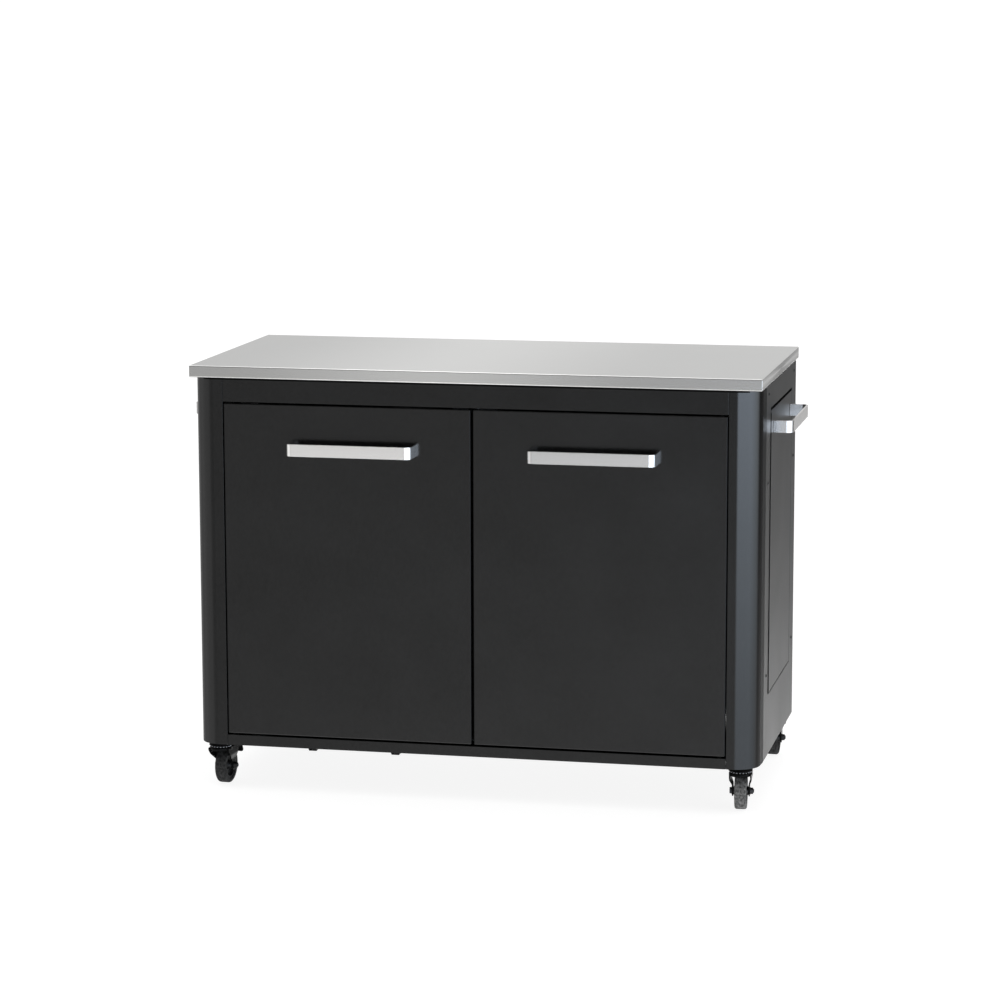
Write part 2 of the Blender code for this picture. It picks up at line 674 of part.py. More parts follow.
def build_doors(frame):
    """Each door hangs on an empty that stands on its hinge pins' axis."""
    width = DOOR_OUTER_X - DOOR_INNER_X
    height = DOOR_TOP - DOOR_BOTTOM
    for label, side in sides():
        pivot = Vector((side * (DOOR_OUTER_X - PIVOT_INSET), CABINET_FRONT + PIVOT_BACK, 0.0))
        hinge = empty(f"{label}_door_hinge", frame, pivot)
        centre_x = side * (DOOR_OUTER_X + DOOR_INNER_X) / 2

        name = f"door_panel_{label}"
        shell = tray(name, (width, DOOR_DEPTH, height), [(0, 1, 0)], DOOR_SHEET, DOOR_LIP, FOLD_RADIUS)
        moved_mesh(shell, (centre_x, CABINET_FRONT + DOOR_DEPTH / 2, (DOOR_TOP + DOOR_BOTTOM) / 2))
        holes = [
            pin_hole(side, DOOR_BOTTOM - DOOR_SHEET, DOOR_BOTTOM + 2 * DOOR_SHEET),
            pin_hole(side, DOOR_TOP - 2 * DOOR_SHEET, DOOR_TOP + DOOR_SHEET),
        ]
        mesh = moved_mesh(combined(name, shell, holes, "DIFFERENCE"), -pivot)
        piece(name, mesh, "powder_coat", hinge)

        size = (width - 2 * LINER_MARGIN, LINER_DEPTH, height - 2 * LINER_MARGIN)
        mesh = tray(f"door_liner_{label}", size, [(0, -1, 0)], DOOR_SHEET, 0.0, FOLD_RADIUS)
        centre = Vector((centre_x, LINER_REAR - LINER_DEPTH / 2, (DOOR_TOP + DOOR_BOTTOM) / 2))
        piece(f"door_liner_{label}", mesh, "powder_coat", hinge, centre - pivot)

        name = f"door_handle_{label}"
        x = side * DOOR_HANDLE_X + DOOR_HANDLE_SHIFT
        place = Vector((x, CABINET_FRONT, DOOR_HANDLE_TOP - HANDLE_HEIGHT / 2))
        piece(name, handle_mesh(name), "stainless", hinge, place - pivot)

        build_hinge_pins(frame, label, pivot)
        build_catch(frame, label, side)


def build_hinge_pins(frame, label, pivot):
    """Collared pins: a shank in the rail, a collar between, a spigot in the door."""
    collar = DOOR_GAP - 2 * FIT
    shank = PIN_REACH / 2
    lower = [
        (0.0, collar + PIN_REACH), (PIN_RADIUS, collar + PIN_REACH), (PIN_RADIUS, collar),
        (PIN_COLLAR_RADIUS, collar), (PIN_COLLAR_RADIUS, 0.0), (PIN_RADIUS, 0.0),
        (PIN_RADIUS, -shank), (0.0, -shank),
    ]
    upper = [(radius, collar - height) for radius, height in reversed(lower)]
    bottom = pivot + Vector((0.0, 0.0, FLOOR_TOP + FIT))
    top = pivot + Vector((0.0, 0.0, DOOR_TOP + FIT))
    piece(f"lower_hinge_pin_{label}", turned("lower_pin", lower, SMALL_STEPS), "zinc_steel", frame, bottom)
    piece(f"upper_hinge_pin_{label}", turned("upper_pin", upper, SMALL_STEPS), "zinc_steel", frame, top)


def build_catch(frame, label, side):
    """A magnetic catch screwed up under the top rail, just behind its door."""
    near = side * CATCH_OFFSET
    far = side * (CATCH_OFFSET + CATCH_WIDTH)
    front = LINER_REAR + FIT
    top = TOP_RAIL_BOTTOM - FIT
    low = (min(near, far), front, top - CATCH_HEIGHT)
    high = (max(near, far), front + CATCH_DEPTH, top)
    name = f"door_catch_{label}"
    mesh = block(name, low, high)
    bm = bmesh.new()
    bm.from_mesh(mesh)
    folds = [edge for edge in bm.edges if abs((edge.verts[0].co - edge.verts[1].co).y) > CATCH_DEPTH / 2]
    bmesh.ops.bevel(bm, geom=folds, offset=CATCH_RADIUS, segments=2, profile=0.5, affect="EDGES")
    bm.to_mesh(mesh)
    bm.free()
    piece(name, mesh, "catch_plastic", frame)


def caster_mount_mesh():
    """Stem with its nut above the foot, the flared upper race and the kingpin."""
    nut_bottom = CASTER_HEIGHT + SHEET + FIT
    nut_top = nut_bottom + STEM_NUT_HEIGHT
    stem_top = nut_bottom + STEM_LENGTH
    race_top = CASTER_HEIGHT - FIT
    race_bottom = CROWN_TOP + RACE_GAP
    cone_bottom = CROWN_TOP - GROOVE_DEPTH + 2 * FIT
    head_top = CROWN_BOTTOM - FIT
    nut_radius = STEM_RADIUS * 1.7
    profile = [
        (0.0, stem_top), (STEM_RADIUS, stem_top), (STEM_RADIUS, nut_top), (nut_radius, nut_top),
        (nut_radius, nut_bottom), (STEM_RADIUS, nut_bottom), (STEM_RADIUS, race_top),
        (RACE_RADIUS - 0.0035, race_top), (RACE_RADIUS, race_bottom + 0.0018), (RACE_RADIUS, race_bottom),
        (RACE_BALL_RADIUS + 0.0005, race_bottom), (RACE_BALL_RADIUS - 0.0010, cone_bottom),
        (KINGPIN_RADIUS, cone_bottom - FIT), (KINGPIN_RADIUS, head_top),
        (KINGPIN_RADIUS + 0.003, head_top), (KINGPIN_RADIUS + 0.002, head_top - 0.0025),
        (0.0, head_top - 0.003),
    ]
    return turned("caster_mount", profile)


def fork_leg(side):
    """One leg of the fork, joggled inward between the crown and the axle."""
    pivot_y, pivot_z = PEDAL_PIVOT
    ear = pivot_y + EAR_RADIUS
    shoulder = CROWN_BOTTOM + 0.0045
    outline = [(-0.015, shoulder), (pivot_y - 0.012, shoulder), (pivot_y - 0.005, pivot_z + EAR_RADIUS)]
    outline += arc((pivot_y, pivot_z), EAR_RADIUS, 90, -20, 4)
    outline += [(ear - 0.001, pivot_z - 0.006), (CASTER_TRAIL + LEG_EYE_RADIUS, WHEEL_RADIUS + 0.018)]
    outline += arc((CASTER_TRAIL, WHEEL_RADIUS), LEG_EYE_RADIUS, 0, -180, 9)
    outline += [(0.0145, WHEEL_RADIUS + 0.014), (-0.006, CROWN_BOTTOM - 0.009), (-0.015, CROWN_BOTTOM)]
    mesh = plate("leg", outline, side * (LEG_TOP_X - LEG_THICKNESS), side * LEG_TOP_X, "X")
    bend_top = WHEEL_RADIUS + LEG_BEND_TOP
    bend_bottom = WHEEL_RADIUS + LEG_BEND_BOTTOM
    bm = bmesh.new()
    bm.from_mesh(mesh)
    for height in (bend_top, bend_bottom):
        geometry = list(bm.verts) + list(bm.edges) + list(bm.faces)
        bmesh.ops.bisect_plane(bm, geom=geometry, plane_co=(0, 0, height), plane_no=(0, 0, 1))
    for vert in bm.verts:
        share = (bend_top - vert.co.z) / (bend_top - bend_bottom)
        vert.co.x -= side * (LEG_TOP_X - LEG_AXLE_X) * min(max(share, 0.0), 1.0)
    bmesh.ops.recalc_face_normals(bm, faces=bm.faces)
    bm.to_mesh(mesh)
    bm.free()
    return mesh


def fork_mesh():
    """Dished ball-race crown and two joggled legs, with holes for kingpin, axle and pedal."""
    bore = KINGPIN_RADIUS + FIT
    groove = CROWN_TOP - GROOVE_DEPTH
    profile = [
        (bore, groove), (RACE_BALL_RADIUS - 0.0004, groove), (RACE_BALL_RADIUS + 0.0011, CROWN_TOP),
        (RACE_BALL_RADIUS + 0.0022, CROWN_TOP), (CROWN_RADIUS, CROWN_BOTTOM + 0.0050),
        (CROWN_RADIUS, CROWN_BOTTOM + 0.0022), (CROWN_RADIUS - 0.0020, CROWN_BOTTOM), (bore, CROWN_BOTTOM),
    ]
    crown = turned("fork_crown", profile, closed=True)
    body = combined("fork_body", crown, [fork_leg(-1), fork_leg(1)], "UNION")
    outside = LEG_TOP_X + LEG_THICKNESS
    axle = rod(
        "axle_hole", AXLE_RADIUS + FIT, (-outside, CASTER_TRAIL, WHEEL_RADIUS),
        (outside, CASTER_TRAIL, WHEEL_RADIUS),
    )
    pedal = rod(
        "pedal_hole", PEDAL_PIN_RADIUS + FIT, (-outside, *PEDAL_PIVOT), (outside, *PEDAL_PIVOT),
    )
    return combined("caster_fork", body, [axle, pedal], "DIFFERENCE")


def tyre_mesh():
    """A faceted tyre that rests on a flat, so its facets clear the wheel's radius."""
    inner = RIM_RADIUS + FIT
    half = TYRE_HALF_WIDTH
    shoulder = WHEEL_RADIUS / math.cos(math.pi / TYRE_STEPS) - TYRE_SHOULDER
    crown = arc((shoulder, half - TYRE_SHOULDER), TYRE_SHOULDER, 90, 0, 3)
    tread = crown + [(radius, -height) for radius, height in reversed(crown)]
    profile = [(inner, half - 0.001)] + tread + [(inner, -half + 0.001)]
    mesh = turned("tyre", profile, TYRE_STEPS, closed=True)
    mesh.transform(Matrix.Rotation(math.pi / TYRE_STEPS, 4, "Z"))
    return mesh


def hub_mesh():
    """Rim, recessed web and boss in one moulding."""
    rim = RIM_RADIUS - RIM_WALL
    bore = AXLE_RADIUS + FIT
    half = [
        (bore, BOSS_HALF_WIDTH), (BOSS_RADIUS, BOSS_HALF_WIDTH), (BOSS_RADIUS + 0.001, WEB_HALF_WIDTH),
        (rim - 0.001, WEB_HALF_WIDTH), (rim, RIM_HALF_WIDTH), (RIM_RADIUS, RIM_HALF_WIDTH),
    ]
    profile = half + [(radius, -height) for radius, height in reversed(half)]
    return turned("hub", profile, closed=True)


def axle_mesh():
    """Bolt with a hexagon head on one side and a nut on the other."""
    face = LEG_AXLE_X + FIT
    shank = rod("shank", AXLE_RADIUS, (-face, 0, 0), (face + AXLE_END, 0, 0))
    head = rod("head", NUT_RADIUS, (-face - NUT_HEIGHT * 0.8, 0, 0), (-face, 0, 0), 6)
    nut = rod("nut", NUT_RADIUS, (face, 0, 0), (face + NUT_HEIGHT, 0, 0), 6)
    return combined("axle_bolt", shank, [head, nut], "UNION")


def pedal_mesh():
    """Brake lever: tread plate, two cheeks, the pad across them and its pins.

    Its origin is the pivot, with y to the rear.
    """
    tread = [(0.0085, 0.0035), (0.0200, 0.0), (0.0310, -0.0115), (PEDAL_REACH, -0.0245)]
    half = PEDAL_WIDTH / 2
    points = [(half, y, z) for y, z in tread]
    lever = bent_strip("pedal_tread", points, (-PEDAL_WIDTH, 0.0, 0.0), PEDAL_SHEET)
    bm = bmesh.new()
    bm.from_mesh(lever)
    tips = [
        edge for edge in bm.edges
        if min(vert.co.y for vert in edge.verts) > PEDAL_REACH - PEDAL_SHEET * 1.5
        and abs(edge.verts[0].co.x - edge.verts[1].co.x) < PEDAL_SHEET
    ]
    bmesh.ops.bevel(bm, geom=tips, offset=PEDAL_CORNER, segments=3, profile=0.5, affect="EDGES")
    bm.to_mesh(lever)
    bm.free()
    eye = EAR_RADIUS - 0.001
    cheek = [(0.0, eye)] + arc((0.0, 0.0), eye, 120, 290, 5)
    cheek += [(PAD_Y, -PAD_DROP - PAD_RADIUS * 0.8), (0.0285, -0.0155)]
    cheek += [(0.0305, -0.0125), (0.0192, -0.0007), (0.0090, 0.0025)]
    inside = CHEEK_OUTER_X - LEG_THICKNESS
    parts = [plate("cheek", cheek, side * inside, side * CHEEK_OUTER_X, "X") for side in (-1, 1)]
    grip = inside + 0.001
    parts.append(rod("pad", PAD_RADIUS, (-grip, PAD_Y, -PAD_DROP), (grip, PAD_Y, -PAD_DROP)))
    for side in (-1, 1):
        start = (side * (inside + 0.0005), 0.0, 0.0)
        parts.append(rod("pin", PEDAL_PIN_RADIUS, start, (side * LEG_TOP_X, 0.0, 0.0)))
    return combined("brake_pedal", lever, parts, "UNION")


def build_casters(frame):
    """Four casters that share their meshes; each turns on its own empties."""
    meshes = {
        "mount": caster_mount_mesh(), "fork": fork_mesh(), "tyre": tyre_mesh(),
        "hub": hub_mesh(), "axle": axle_mesh(), "pedal": pedal_mesh(),
    }
    lie = (0.0, math.radians(90), 0.0)
    for row, depth in (("front", CASTER_FRONT_Y), ("rear", CASTER_REAR_Y)):
        for label, side in sides():
            corner = f"{row}_{label}"
            swivel = empty(f"{corner}_swivel", frame, (side * CASTER_X, depth, 0.0), CASTER_TURN[corner])
            axle = empty(f"{corner}_axle", swivel, (0.0, CASTER_TRAIL, WHEEL_RADIUS))
            pivot = empty(f"{corner}_pedal_pivot", swivel, (0.0, *PEDAL_PIVOT))
            piece(f"{corner}_caster_mount", meshes["mount"], "caster_steel", swivel)
            piece(f"{corner}_caster_fork", meshes["fork"], "caster_steel", swivel)
            piece(f"{corner}_tyre", meshes["tyre"], "tyre_rubber", axle, rotation=lie)
            piece(f"{corner}_hub", meshes["hub"], "hub_plastic", axle, rotation=lie)
            piece(f"{corner}_axle_bolt", meshes["axle"], "zinc_steel", axle)
            piece(f"{corner}_brake_pedal", meshes["pedal"], "caster_steel", pivot)


def main():
    clear_scene()
    frame = empty("frame", None, (0.0, FRAME_Y, 0.0))
    build_worktop(frame)
    build_posts(frame)
    build_rails(frame)
    build_side_panels(frame)
    build_floor(frame)
    build_back(frame)
    build_side_handles(frame)
    build_doors(frame)
    build_casters(frame)
    bpy.context.view_layer.update()


main()
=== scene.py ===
"""Looks of the outdoor kitchen table: finishes, fine folds, casters and fixings
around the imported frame. Metres, +Z up, the doors face -Y."""
import json
import math

import bmesh
import bpy
from mathutils import Matrix, Vector


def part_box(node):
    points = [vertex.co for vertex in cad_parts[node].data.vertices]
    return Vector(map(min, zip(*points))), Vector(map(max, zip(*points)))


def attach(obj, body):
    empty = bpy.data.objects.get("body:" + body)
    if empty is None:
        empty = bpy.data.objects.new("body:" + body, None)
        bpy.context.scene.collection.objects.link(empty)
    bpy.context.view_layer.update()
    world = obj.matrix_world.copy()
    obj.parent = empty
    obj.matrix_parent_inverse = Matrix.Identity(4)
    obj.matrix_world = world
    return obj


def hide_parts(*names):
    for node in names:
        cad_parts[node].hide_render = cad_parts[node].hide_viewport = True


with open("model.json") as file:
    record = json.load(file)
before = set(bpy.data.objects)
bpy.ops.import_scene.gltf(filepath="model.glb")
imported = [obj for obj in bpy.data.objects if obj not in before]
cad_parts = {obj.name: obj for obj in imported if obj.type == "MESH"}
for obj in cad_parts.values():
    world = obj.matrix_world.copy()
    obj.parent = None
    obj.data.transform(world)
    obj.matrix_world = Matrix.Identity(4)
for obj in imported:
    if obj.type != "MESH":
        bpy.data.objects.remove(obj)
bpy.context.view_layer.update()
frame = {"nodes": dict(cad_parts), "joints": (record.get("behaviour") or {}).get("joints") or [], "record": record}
SCENE = bpy.context.scene
NODES = frame["nodes"]
JOINTS = {joint["name"]: joint for joint in frame["joints"]}
BODIES = frame["record"]["behaviour"]["bodies"]
BODY_OF = {node: body for body, group in BODIES.items() for node in group}
SLOT_OF = {part["node"]: part["material_slot"] for part in frame["record"]["subparts"]}
SIDES = (("left", -1), ("right", 1))

# Camera: its place is measured from the middle of the worktop's front edge, on the floor
CAMERA_PLACE = (1.43497, -6.30536, 1.68339)
CAMERA_YAW = math.radians(-12.3004)
CAMERA_PITCH = math.radians(-9.293)
CAMERA_ROLL = math.radians(-0.1245)
CAMERA_LENS = 117.79
CAMERA_SENSOR = 36.0
CAMERA_CLIP = (0.05, 500.0)

# Brushed steel: the share of spread across the strokes, and the worktop's paler band, a painted reflection
BRUSHED_SPREAD = 0.6
PAINTED_SHEEN_MIDDLE = -0.08
PAINTED_SHEEN_REACH = 0.46

# Meshes: when two points, two heights or two faces count as one, and the bounds between
# which a normal's share along X marks the edges and folds that get a darker material as painted shade
SAME_POINT = 0.000005
SAME_HEIGHT = 0.001
FLAT_ANGLE = math.radians(0.5)
INSERT_EDGE_SHARES = (-1.0, 0.95)
DOOR_FOLD_SHARES = (0.1, 0.99)
POST_SIDE_SHARE = 0.98
POST_SIDE_AREA = 0.001

# Sheet metal
SHEET = 0.0012
WORKTOP_WALL = 0.0015
WORKTOP_RADIUS = 0.0024
HEM_WIDTH = 0.025
POST_CORNER_RADIUS = 0.046
POST_LEAN = 0.0018
POST_LEAN_END = -4
POST_WIDE_RADIUS = 0.048
POST_RETURN = 0.022
FOLD_RADIUS = 0.0018
EDGE_BREAK = 0.0004
SHEET_EDGE_BREAK = 0.0005
LEFT_POST_EDGE_BREAK = 0.0002

# Side panels and their inserts: the slot above an insert is drawn higher than in the
# solids, and an insert's front edge stands back to widen the shadow there
SLOT_RISE = 0.004
SLOT_REACH = 0.006
INSERT_SETBACK = 0.0022
INSERT_EDGE_REACH = 0.004

# Shadow strips: black pieces as painted shade under the hem and along the inserts' front edges
SHADOW_STRIP_PROUD = 0.0005
SHADOW_STRIP_HEIGHT = 0.0040
SHADOW_STRIP_DROP = 0.0041
SHADOW_STRIP_END = -62
SHADOW_BEAD_RADIUS = 0.0012
SHADOW_BEAD_INSET = 0.0009
SHADOW_BEAD_END_GAP = 0.003

# Handles
HANDLE_THICKNESS = 0.004
HANDLE_RADIUS = 0.013
HANDLE_EDGE_BREAK = 0.0006

# Casters: main sizes as in the solids
WHEEL_RADIUS = 0.0375
TYRE_HALF_WIDTH = 0.01225
TYRE_INNER_RADIUS = 0.0275
TYRE_SHOULDER = 0.0045
CROWN_BOTTOM = 0.0765
CROWN_TOP = 0.0848
CASTER_HEIGHT = 0.0950
CASTER_TRAIL = 0.029
CROWN_RADIUS = 0.0235
RACE_RADIUS = 0.0243
BALL_ROW_RADIUS = 0.0190
STEM_RADIUS = 0.0050
STEM_RISE = 0.018
NUT_RADIUS = 0.0085
NUT_HEIGHT = 0.008
KINGPIN_RADIUS = 0.0060
KINGPIN_BORE = 0.0063
RUNNING_GAP = 0.0003
LEG_THICKNESS = 0.0025
LEG_TOP_X = 0.0225
LEG_AXLE_X = 0.0180
LEG_FRONT = -0.015
LEG_BOSS_RADIUS = 0.0115
LEG_BEND_STEPS = 8
AXLE_HOLE_RADIUS = 0.0043
AXLE_RADIUS = 0.0040
AXLE_WASHER_RADIUS = 0.0078
AXLE_HEAD_RADIUS = 0.0068
PEDAL_PIVOT = (0.038, 0.0815)
PIVOT_EAR_RADIUS = 0.0055
PIVOT_HOLE_RADIUS = 0.0028
PIVOT_PIN_RADIUS = 0.0025
PEDAL_HALF_WIDTH = 0.0215
PEDAL_WALL = 0.0025
PEDAL_TIP = 0.0375
PEDAL_CORNER = 0.005
CHEEK_INSIDE = 0.0165
CHEEK_OUTSIDE = 0.0190
CHEEK_EYE_RADIUS = 0.0045
PAD_PLACE = (0.012, -0.006)
PAD_RADIUS = 0.0030
PAD_HALF_LENGTH = 0.0175
BALL_COUNT = 20
BALL_RADIUS = 0.0019
BALL_CIRCLE_RADIUS = 0.0207
CASTERS = ("front_left", "front_right", "rear_left", "rear_right")

# Screws: drops below the worktop's top, depths behind its front, insets from edges
SCREW_RADIUS = 0.0034
SCREW_HEIGHT = 0.0014
SIDE_SCREW_DROPS = (0.044, 0.224, 0.6165)
SIDE_SCREW_DEPTHS = (0.1166, 0.5105)
HANDLE_SCREW_INSET = 0.002
BACK_SCREW_COLUMNS = 5
BACK_SCREW_SIDE_INSET = 0.010
BACK_SCREW_END_INSET = 0.012

# Floor
FLOOR_RADIUS = 400.0
FLOOR_GREY = 0.18
FLOOR_GLOW = 0.89

# Nodes that have a section of their own, by name and by words in their names
OWN_SECTION = {"worktop_skin", "front_post_left", "front_post_right"}
OWN_SECTION_WORDS = ("caster", "tyre", "hub", "axle", "pedal", "handle")

# Materials of the carried-over nodes where they differ from the slot's; the hinge pins in the doors' gaps get flat
# black as painted shade
FINISH_OF = {}
for side_label, _ in SIDES:
    for level in ("upper", "lower"):
        FINISH_OF[f"{level}_hinge_pin_{side_label}"] = "shade_black"
    for door_part in ("panel", "liner"):
        FINISH_OF[f"door_{door_part}_{side_label}"] = "door_coat"


# Studio: bands of light from the floor upward. Each row holds the two heights, as the
# sine above the horizon, between which its ring of radiance by heading fades in. A stop
# is a heading in degrees with one grey value, or with red, green and blue.
BELOW = (0.35, 0.35, 0.35, 1.0)
RINGS = (
    (-0.98, -0.62, (
        (-180, 0.35), (-80, 0.35), (-60, 2.2), (30, 2.2), (60, 1.0), (110, 0.35), (180, 0.35),
    )),
    (-0.62, -0.40, (
        (-180, 0.6), (-150, 0.6), (-60, 1.5), (-1, 1.5), (3, 1.6), (92, 1.6, 1.75, 1.9),
        (106, 0.5), (168, 0.5), (171, 3.0), (176, 3.0), (179, 0.6), (180, 0.6),
    )),
    (-0.36, -0.24, (
        (-180, 0.20), (-165, 0.20), (-150, 0.45), (-106, 0.46), (-88, 0.80), (-45, 0.86),
        (-35, 0.50), (-24, 0.46), (-17, 0.52), (-13, 0.58), (-7, 0.72), (-3, 0.72),
        (1, 1.45, 1.60, 1.80), (66, 1.45, 1.60, 1.80), (98, 0.95, 1.0, 1.1), (109, 0.9),
        (118, 0.40), (168.5, 0.30), (171.5, 3.9), (176, 3.9), (179, 0.3), (180, 0.20),
    )),
    (-0.24, -0.19, (
        (-180, 0.15), (-165, 0.15), (-150, 0.45), (-106, 0.46), (-88, 0.80), (-45, 0.86),
        (-35, 0.50), (-24, 0.46), (-17, 0.54), (-13, 0.60), (-7, 0.72), (-3, 0.72),
        (1, 2.0, 2.25, 2.45), (66, 2.0, 2.25, 2.45), (98, 1.25, 1.4, 1.5), (109, 0.9, 1.0, 1.1),
        (118, 0.22), (168.5, 0.15), (171.5, 1.15), (176, 1.15), (179, 0.2), (180, 0.15),
    )),
    (-0.19, -0.10, (
        (-180, 0.15), (-165, 0.15), (-150, 0.45), (-106, 0.46), (-88, 0.80), (-45, 0.86),
        (-35, 0.48), (-24, 0.42), (-17, 0.59), (-14, 0.60), (-10, 0.37), (-7, 0.28), (-4, 0.30),
        (0, 4.8, 5.5, 6.5), (66, 4.8, 5.5, 6.5), (98, 2.8, 3.1, 3.4), (109, 1.5, 1.6, 1.7),
        (118, 0.06), (168.5, 0.05), (171.5, 0.58), (176, 0.58), (179, 0.15), (180, 0.15),
    )),
    (-0.07, 0.04, (
        (-180, 0.80), (-140, 0.55), (-60, 0.50), (-45, 0.16), (-10, 0.16), (-4, 0.16),
        (3, 2.4, 2.6, 2.9), (92, 2.6, 2.8, 3.1), (104, 0.30), (156, 0.30), (166, 0.80),
        (180, 0.80),
    )),
    (0.08, 0.20, (
        (-180, 0.80), (-140, 0.60), (-70, 0.50), (-45, 0.10), (20, 0.10), (50, 1.2), (92, 1.2),
        (104, 0.5), (156, 0.5), (166, 0.80), (180, 0.80),
    )),
    (0.76, 0.94, ((-180, 2.2), (180, 2.2))),
)


# Node trees

def tree_of(owner):
    """Clear a material's or the world's node tree and return it."""
    owner.use_nodes = True
    owner.node_tree.nodes.clear()
    return owner.node_tree


def add(tree, kind, settings=(), inputs=()):
    """Add a node, set its properties, then set or link its inputs."""
    node = tree.nodes.new(kind)
    for key, value in dict(settings).items():
        setattr(node, key, value)
    for key, value in dict(inputs).items():
        if isinstance(value, bpy.types.NodeSocket):
            tree.links.new(value, node.inputs[key])
        else:
            node.inputs[key].default_value = value
    return node


def maths(tree, operation, first, second=0.0):
    node = add(tree, "ShaderNodeMath", {"operation": operation}, {0: first, 1: second})
    return node.outputs[0]


def spread(tree, value, low, high):
    """Map 0..1 to low..high."""
    inputs = {"Value": value, "To Min": low, "To Max": high}
    return add(tree, "ShaderNodeMapRange", {}, inputs).outputs[0]


def gathered(tree, value, low, high):
    """Map low..high to 0..1."""
    inputs = {"Value": value, "From Min": low, "From Max": high}
    return add(tree, "ShaderNodeMapRange", {}, inputs).outputs[0]


def noise(tree, vector, scale, detail=2.0, roughness=0.5):
    inputs = {"Vector": vector, "Scale": scale, "Detail": detail, "Roughness": roughness}
    return add(tree, "ShaderNodeTexNoise", {}, inputs).outputs["Fac"]


def blended(tree, first, second, share):
    """The sum of two values, the second by its share and the first by the rest."""
    rest = maths(tree, "MULTIPLY", first, 1.0 - share)
    return maths(tree, "ADD", rest, maths(tree, "MULTIPLY", second, share))


def object_place(tree):
    return add(tree, "ShaderNodeTexCoord").outputs["Object"]


def stretched(tree, scale):
    """Object coordinates scaled by an amount for each axis."""
    inputs = {0: object_place(tree), 1: scale}
    return add(tree, "ShaderNodeVectorMath", {"operation": "MULTIPLY"}, inputs).outputs[0]


def tinted(tree, color, amount, factor):
    """The colour, darkened and lightened by the amount as the factor goes 0..1."""
    low = (*[part * (1.0 - amount) for part in color], 1.0)
    high = (*[part * (1.0 + amount) for part in color], 1.0)
    mix = add(tree, "ShaderNodeMix", {"data_type": "RGBA"}, {"Factor": factor, "A": low, "B": high})
    return mix.outputs["Result"]


def bumped(tree, height, distance):
    inputs = {"Height": height, "Distance": distance, "Strength": 1.0}
    return add(tree, "ShaderNodeBump", {}, inputs).outputs["Normal"]


def finished(tree, color, roughness, normal, metallic=0.0, specular=0.5):
    shader = add(tree, "ShaderNodeBsdfPrincipled", {}, {
        "Base Color": color, "Roughness": roughness, "Normal": normal, "Metallic": metallic,
        "Specular IOR Level": specular,
    })
    add(tree, "ShaderNodeOutputMaterial", {}, {"Surface": shader.outputs[0]})
    return shader


def coat_material(name, color, roughness, specular, grain=900.0, relief=0.00005, speckle=0.6):
    """Powder coat: a fine orange peel with slow variation in colour and gloss."""
    made = bpy.data.materials.new(name)
    tree = tree_of(made)
    place = object_place(tree)
    slow = noise(tree, place, 9.0, 3.0)
    fine = noise(tree, place, grain, 3.0, 0.6)
    peel = noise(tree, place, grain / 3.5, 2.0)
    both = blended(tree, fine, peel, 0.55)
    shade = gathered(tree, blended(tree, slow, fine, 0.8), 0.32, 0.68)
    gloss = spread(tree, slow, roughness - 0.03, roughness + 0.03)
    tone = tinted(tree, color, speckle, shade)
    finished(tree, tone, gloss, bumped(tree, both, relief), specular=specular)
    return made


def brushed_material(name, color, roughness, stretch, relief, axis, turn, painted_sheen=0.0):
    """Brushed metal: long fine strokes, soft clouds, a lobe across the strokes and, where
    a painted sheen is given, a band painted paler by that share as a reflection."""
    made = bpy.data.materials.new(name)
    tree = tree_of(made)
    strokes = noise(tree, stretched(tree, stretch), 1.0, 4.0, 0.65)
    place = object_place(tree)
    cloud = noise(tree, place, 4.0, 3.0, 0.55)
    shade = blended(tree, strokes, cloud, 0.4)
    gloss = spread(tree, shade, roughness - 0.03, roughness + 0.03)
    tone = tinted(tree, color, 0.05, shade)
    # A paler band across the middle: a painted reflection, not a change in the steel.
    if painted_sheen:
        along = add(tree, "ShaderNodeSeparateXYZ", {}, {0: place}).outputs[0]
        away = maths(tree, "ABSOLUTE", maths(tree, "ADD", along, -PAINTED_SHEEN_MIDDLE))
        near = add(tree, "ShaderNodeMapRange", {"interpolation_type": "SMOOTHSTEP"}, {
            "Value": away, "From Min": PAINTED_SHEEN_REACH, "From Max": 0.0,
            "To Min": 1.0, "To Max": 1.0 + painted_sheen,
        }).outputs[0]
        scaled = {0: tone, "Scale": near}
        tone = add(tree, "ShaderNodeVectorMath", {"operation": "SCALE"}, scaled).outputs[0]
    shader = finished(tree, tone, gloss, bumped(tree, strokes, relief), metallic=1.0)
    shader.inputs["Anisotropic"].default_value = BRUSHED_SPREAD
    shader.inputs["Anisotropic Rotation"].default_value = turn
    grain = add(tree, "ShaderNodeTangent", {"direction_type": "RADIAL", "axis": axis}).outputs[0]
    tree.links.new(grain, shader.inputs["Tangent"])
    return made


def plain_metal(name, color, roughness, metallic=1.0, relief=0.00003, specular=0.5):
    """Plated or lacquered small steel with a faint mottle."""
    made = bpy.data.materials.new(name)
    tree = tree_of(made)
    place = object_place(tree)
    mottle = noise(tree, place, 140.0, 3.0, 0.6)
    grain = noise(tree, place, 1400.0, 2.0)
    gloss = spread(tree, mottle, roughness - 0.06, roughness + 0.08)
    tone = tinted(tree, color, 0.15, mottle)
    finished(tree, tone, gloss, bumped(tree, grain, relief), metallic, specular)
    return made


def rubber_material(name, color):
    """Wheel rubber: matt, with a mottled dusty tread."""
    made = bpy.data.materials.new(name)
    tree = tree_of(made)
    place = object_place(tree)
    mottle = noise(tree, place, 190.0, 4.0, 0.7)
    mottle = gathered(tree, mottle, 0.34, 0.66)
    grain = noise(tree, place, 1500.0, 2.0)
    tone = tinted(tree, color, 0.75, mottle)
    gloss = spread(tree, mottle, 0.62, 0.85)
    finished(tree, tone, gloss, bumped(tree, grain, 0.0001), specular=0.1)
    return made


def grey(value):
    return (value, value, value)


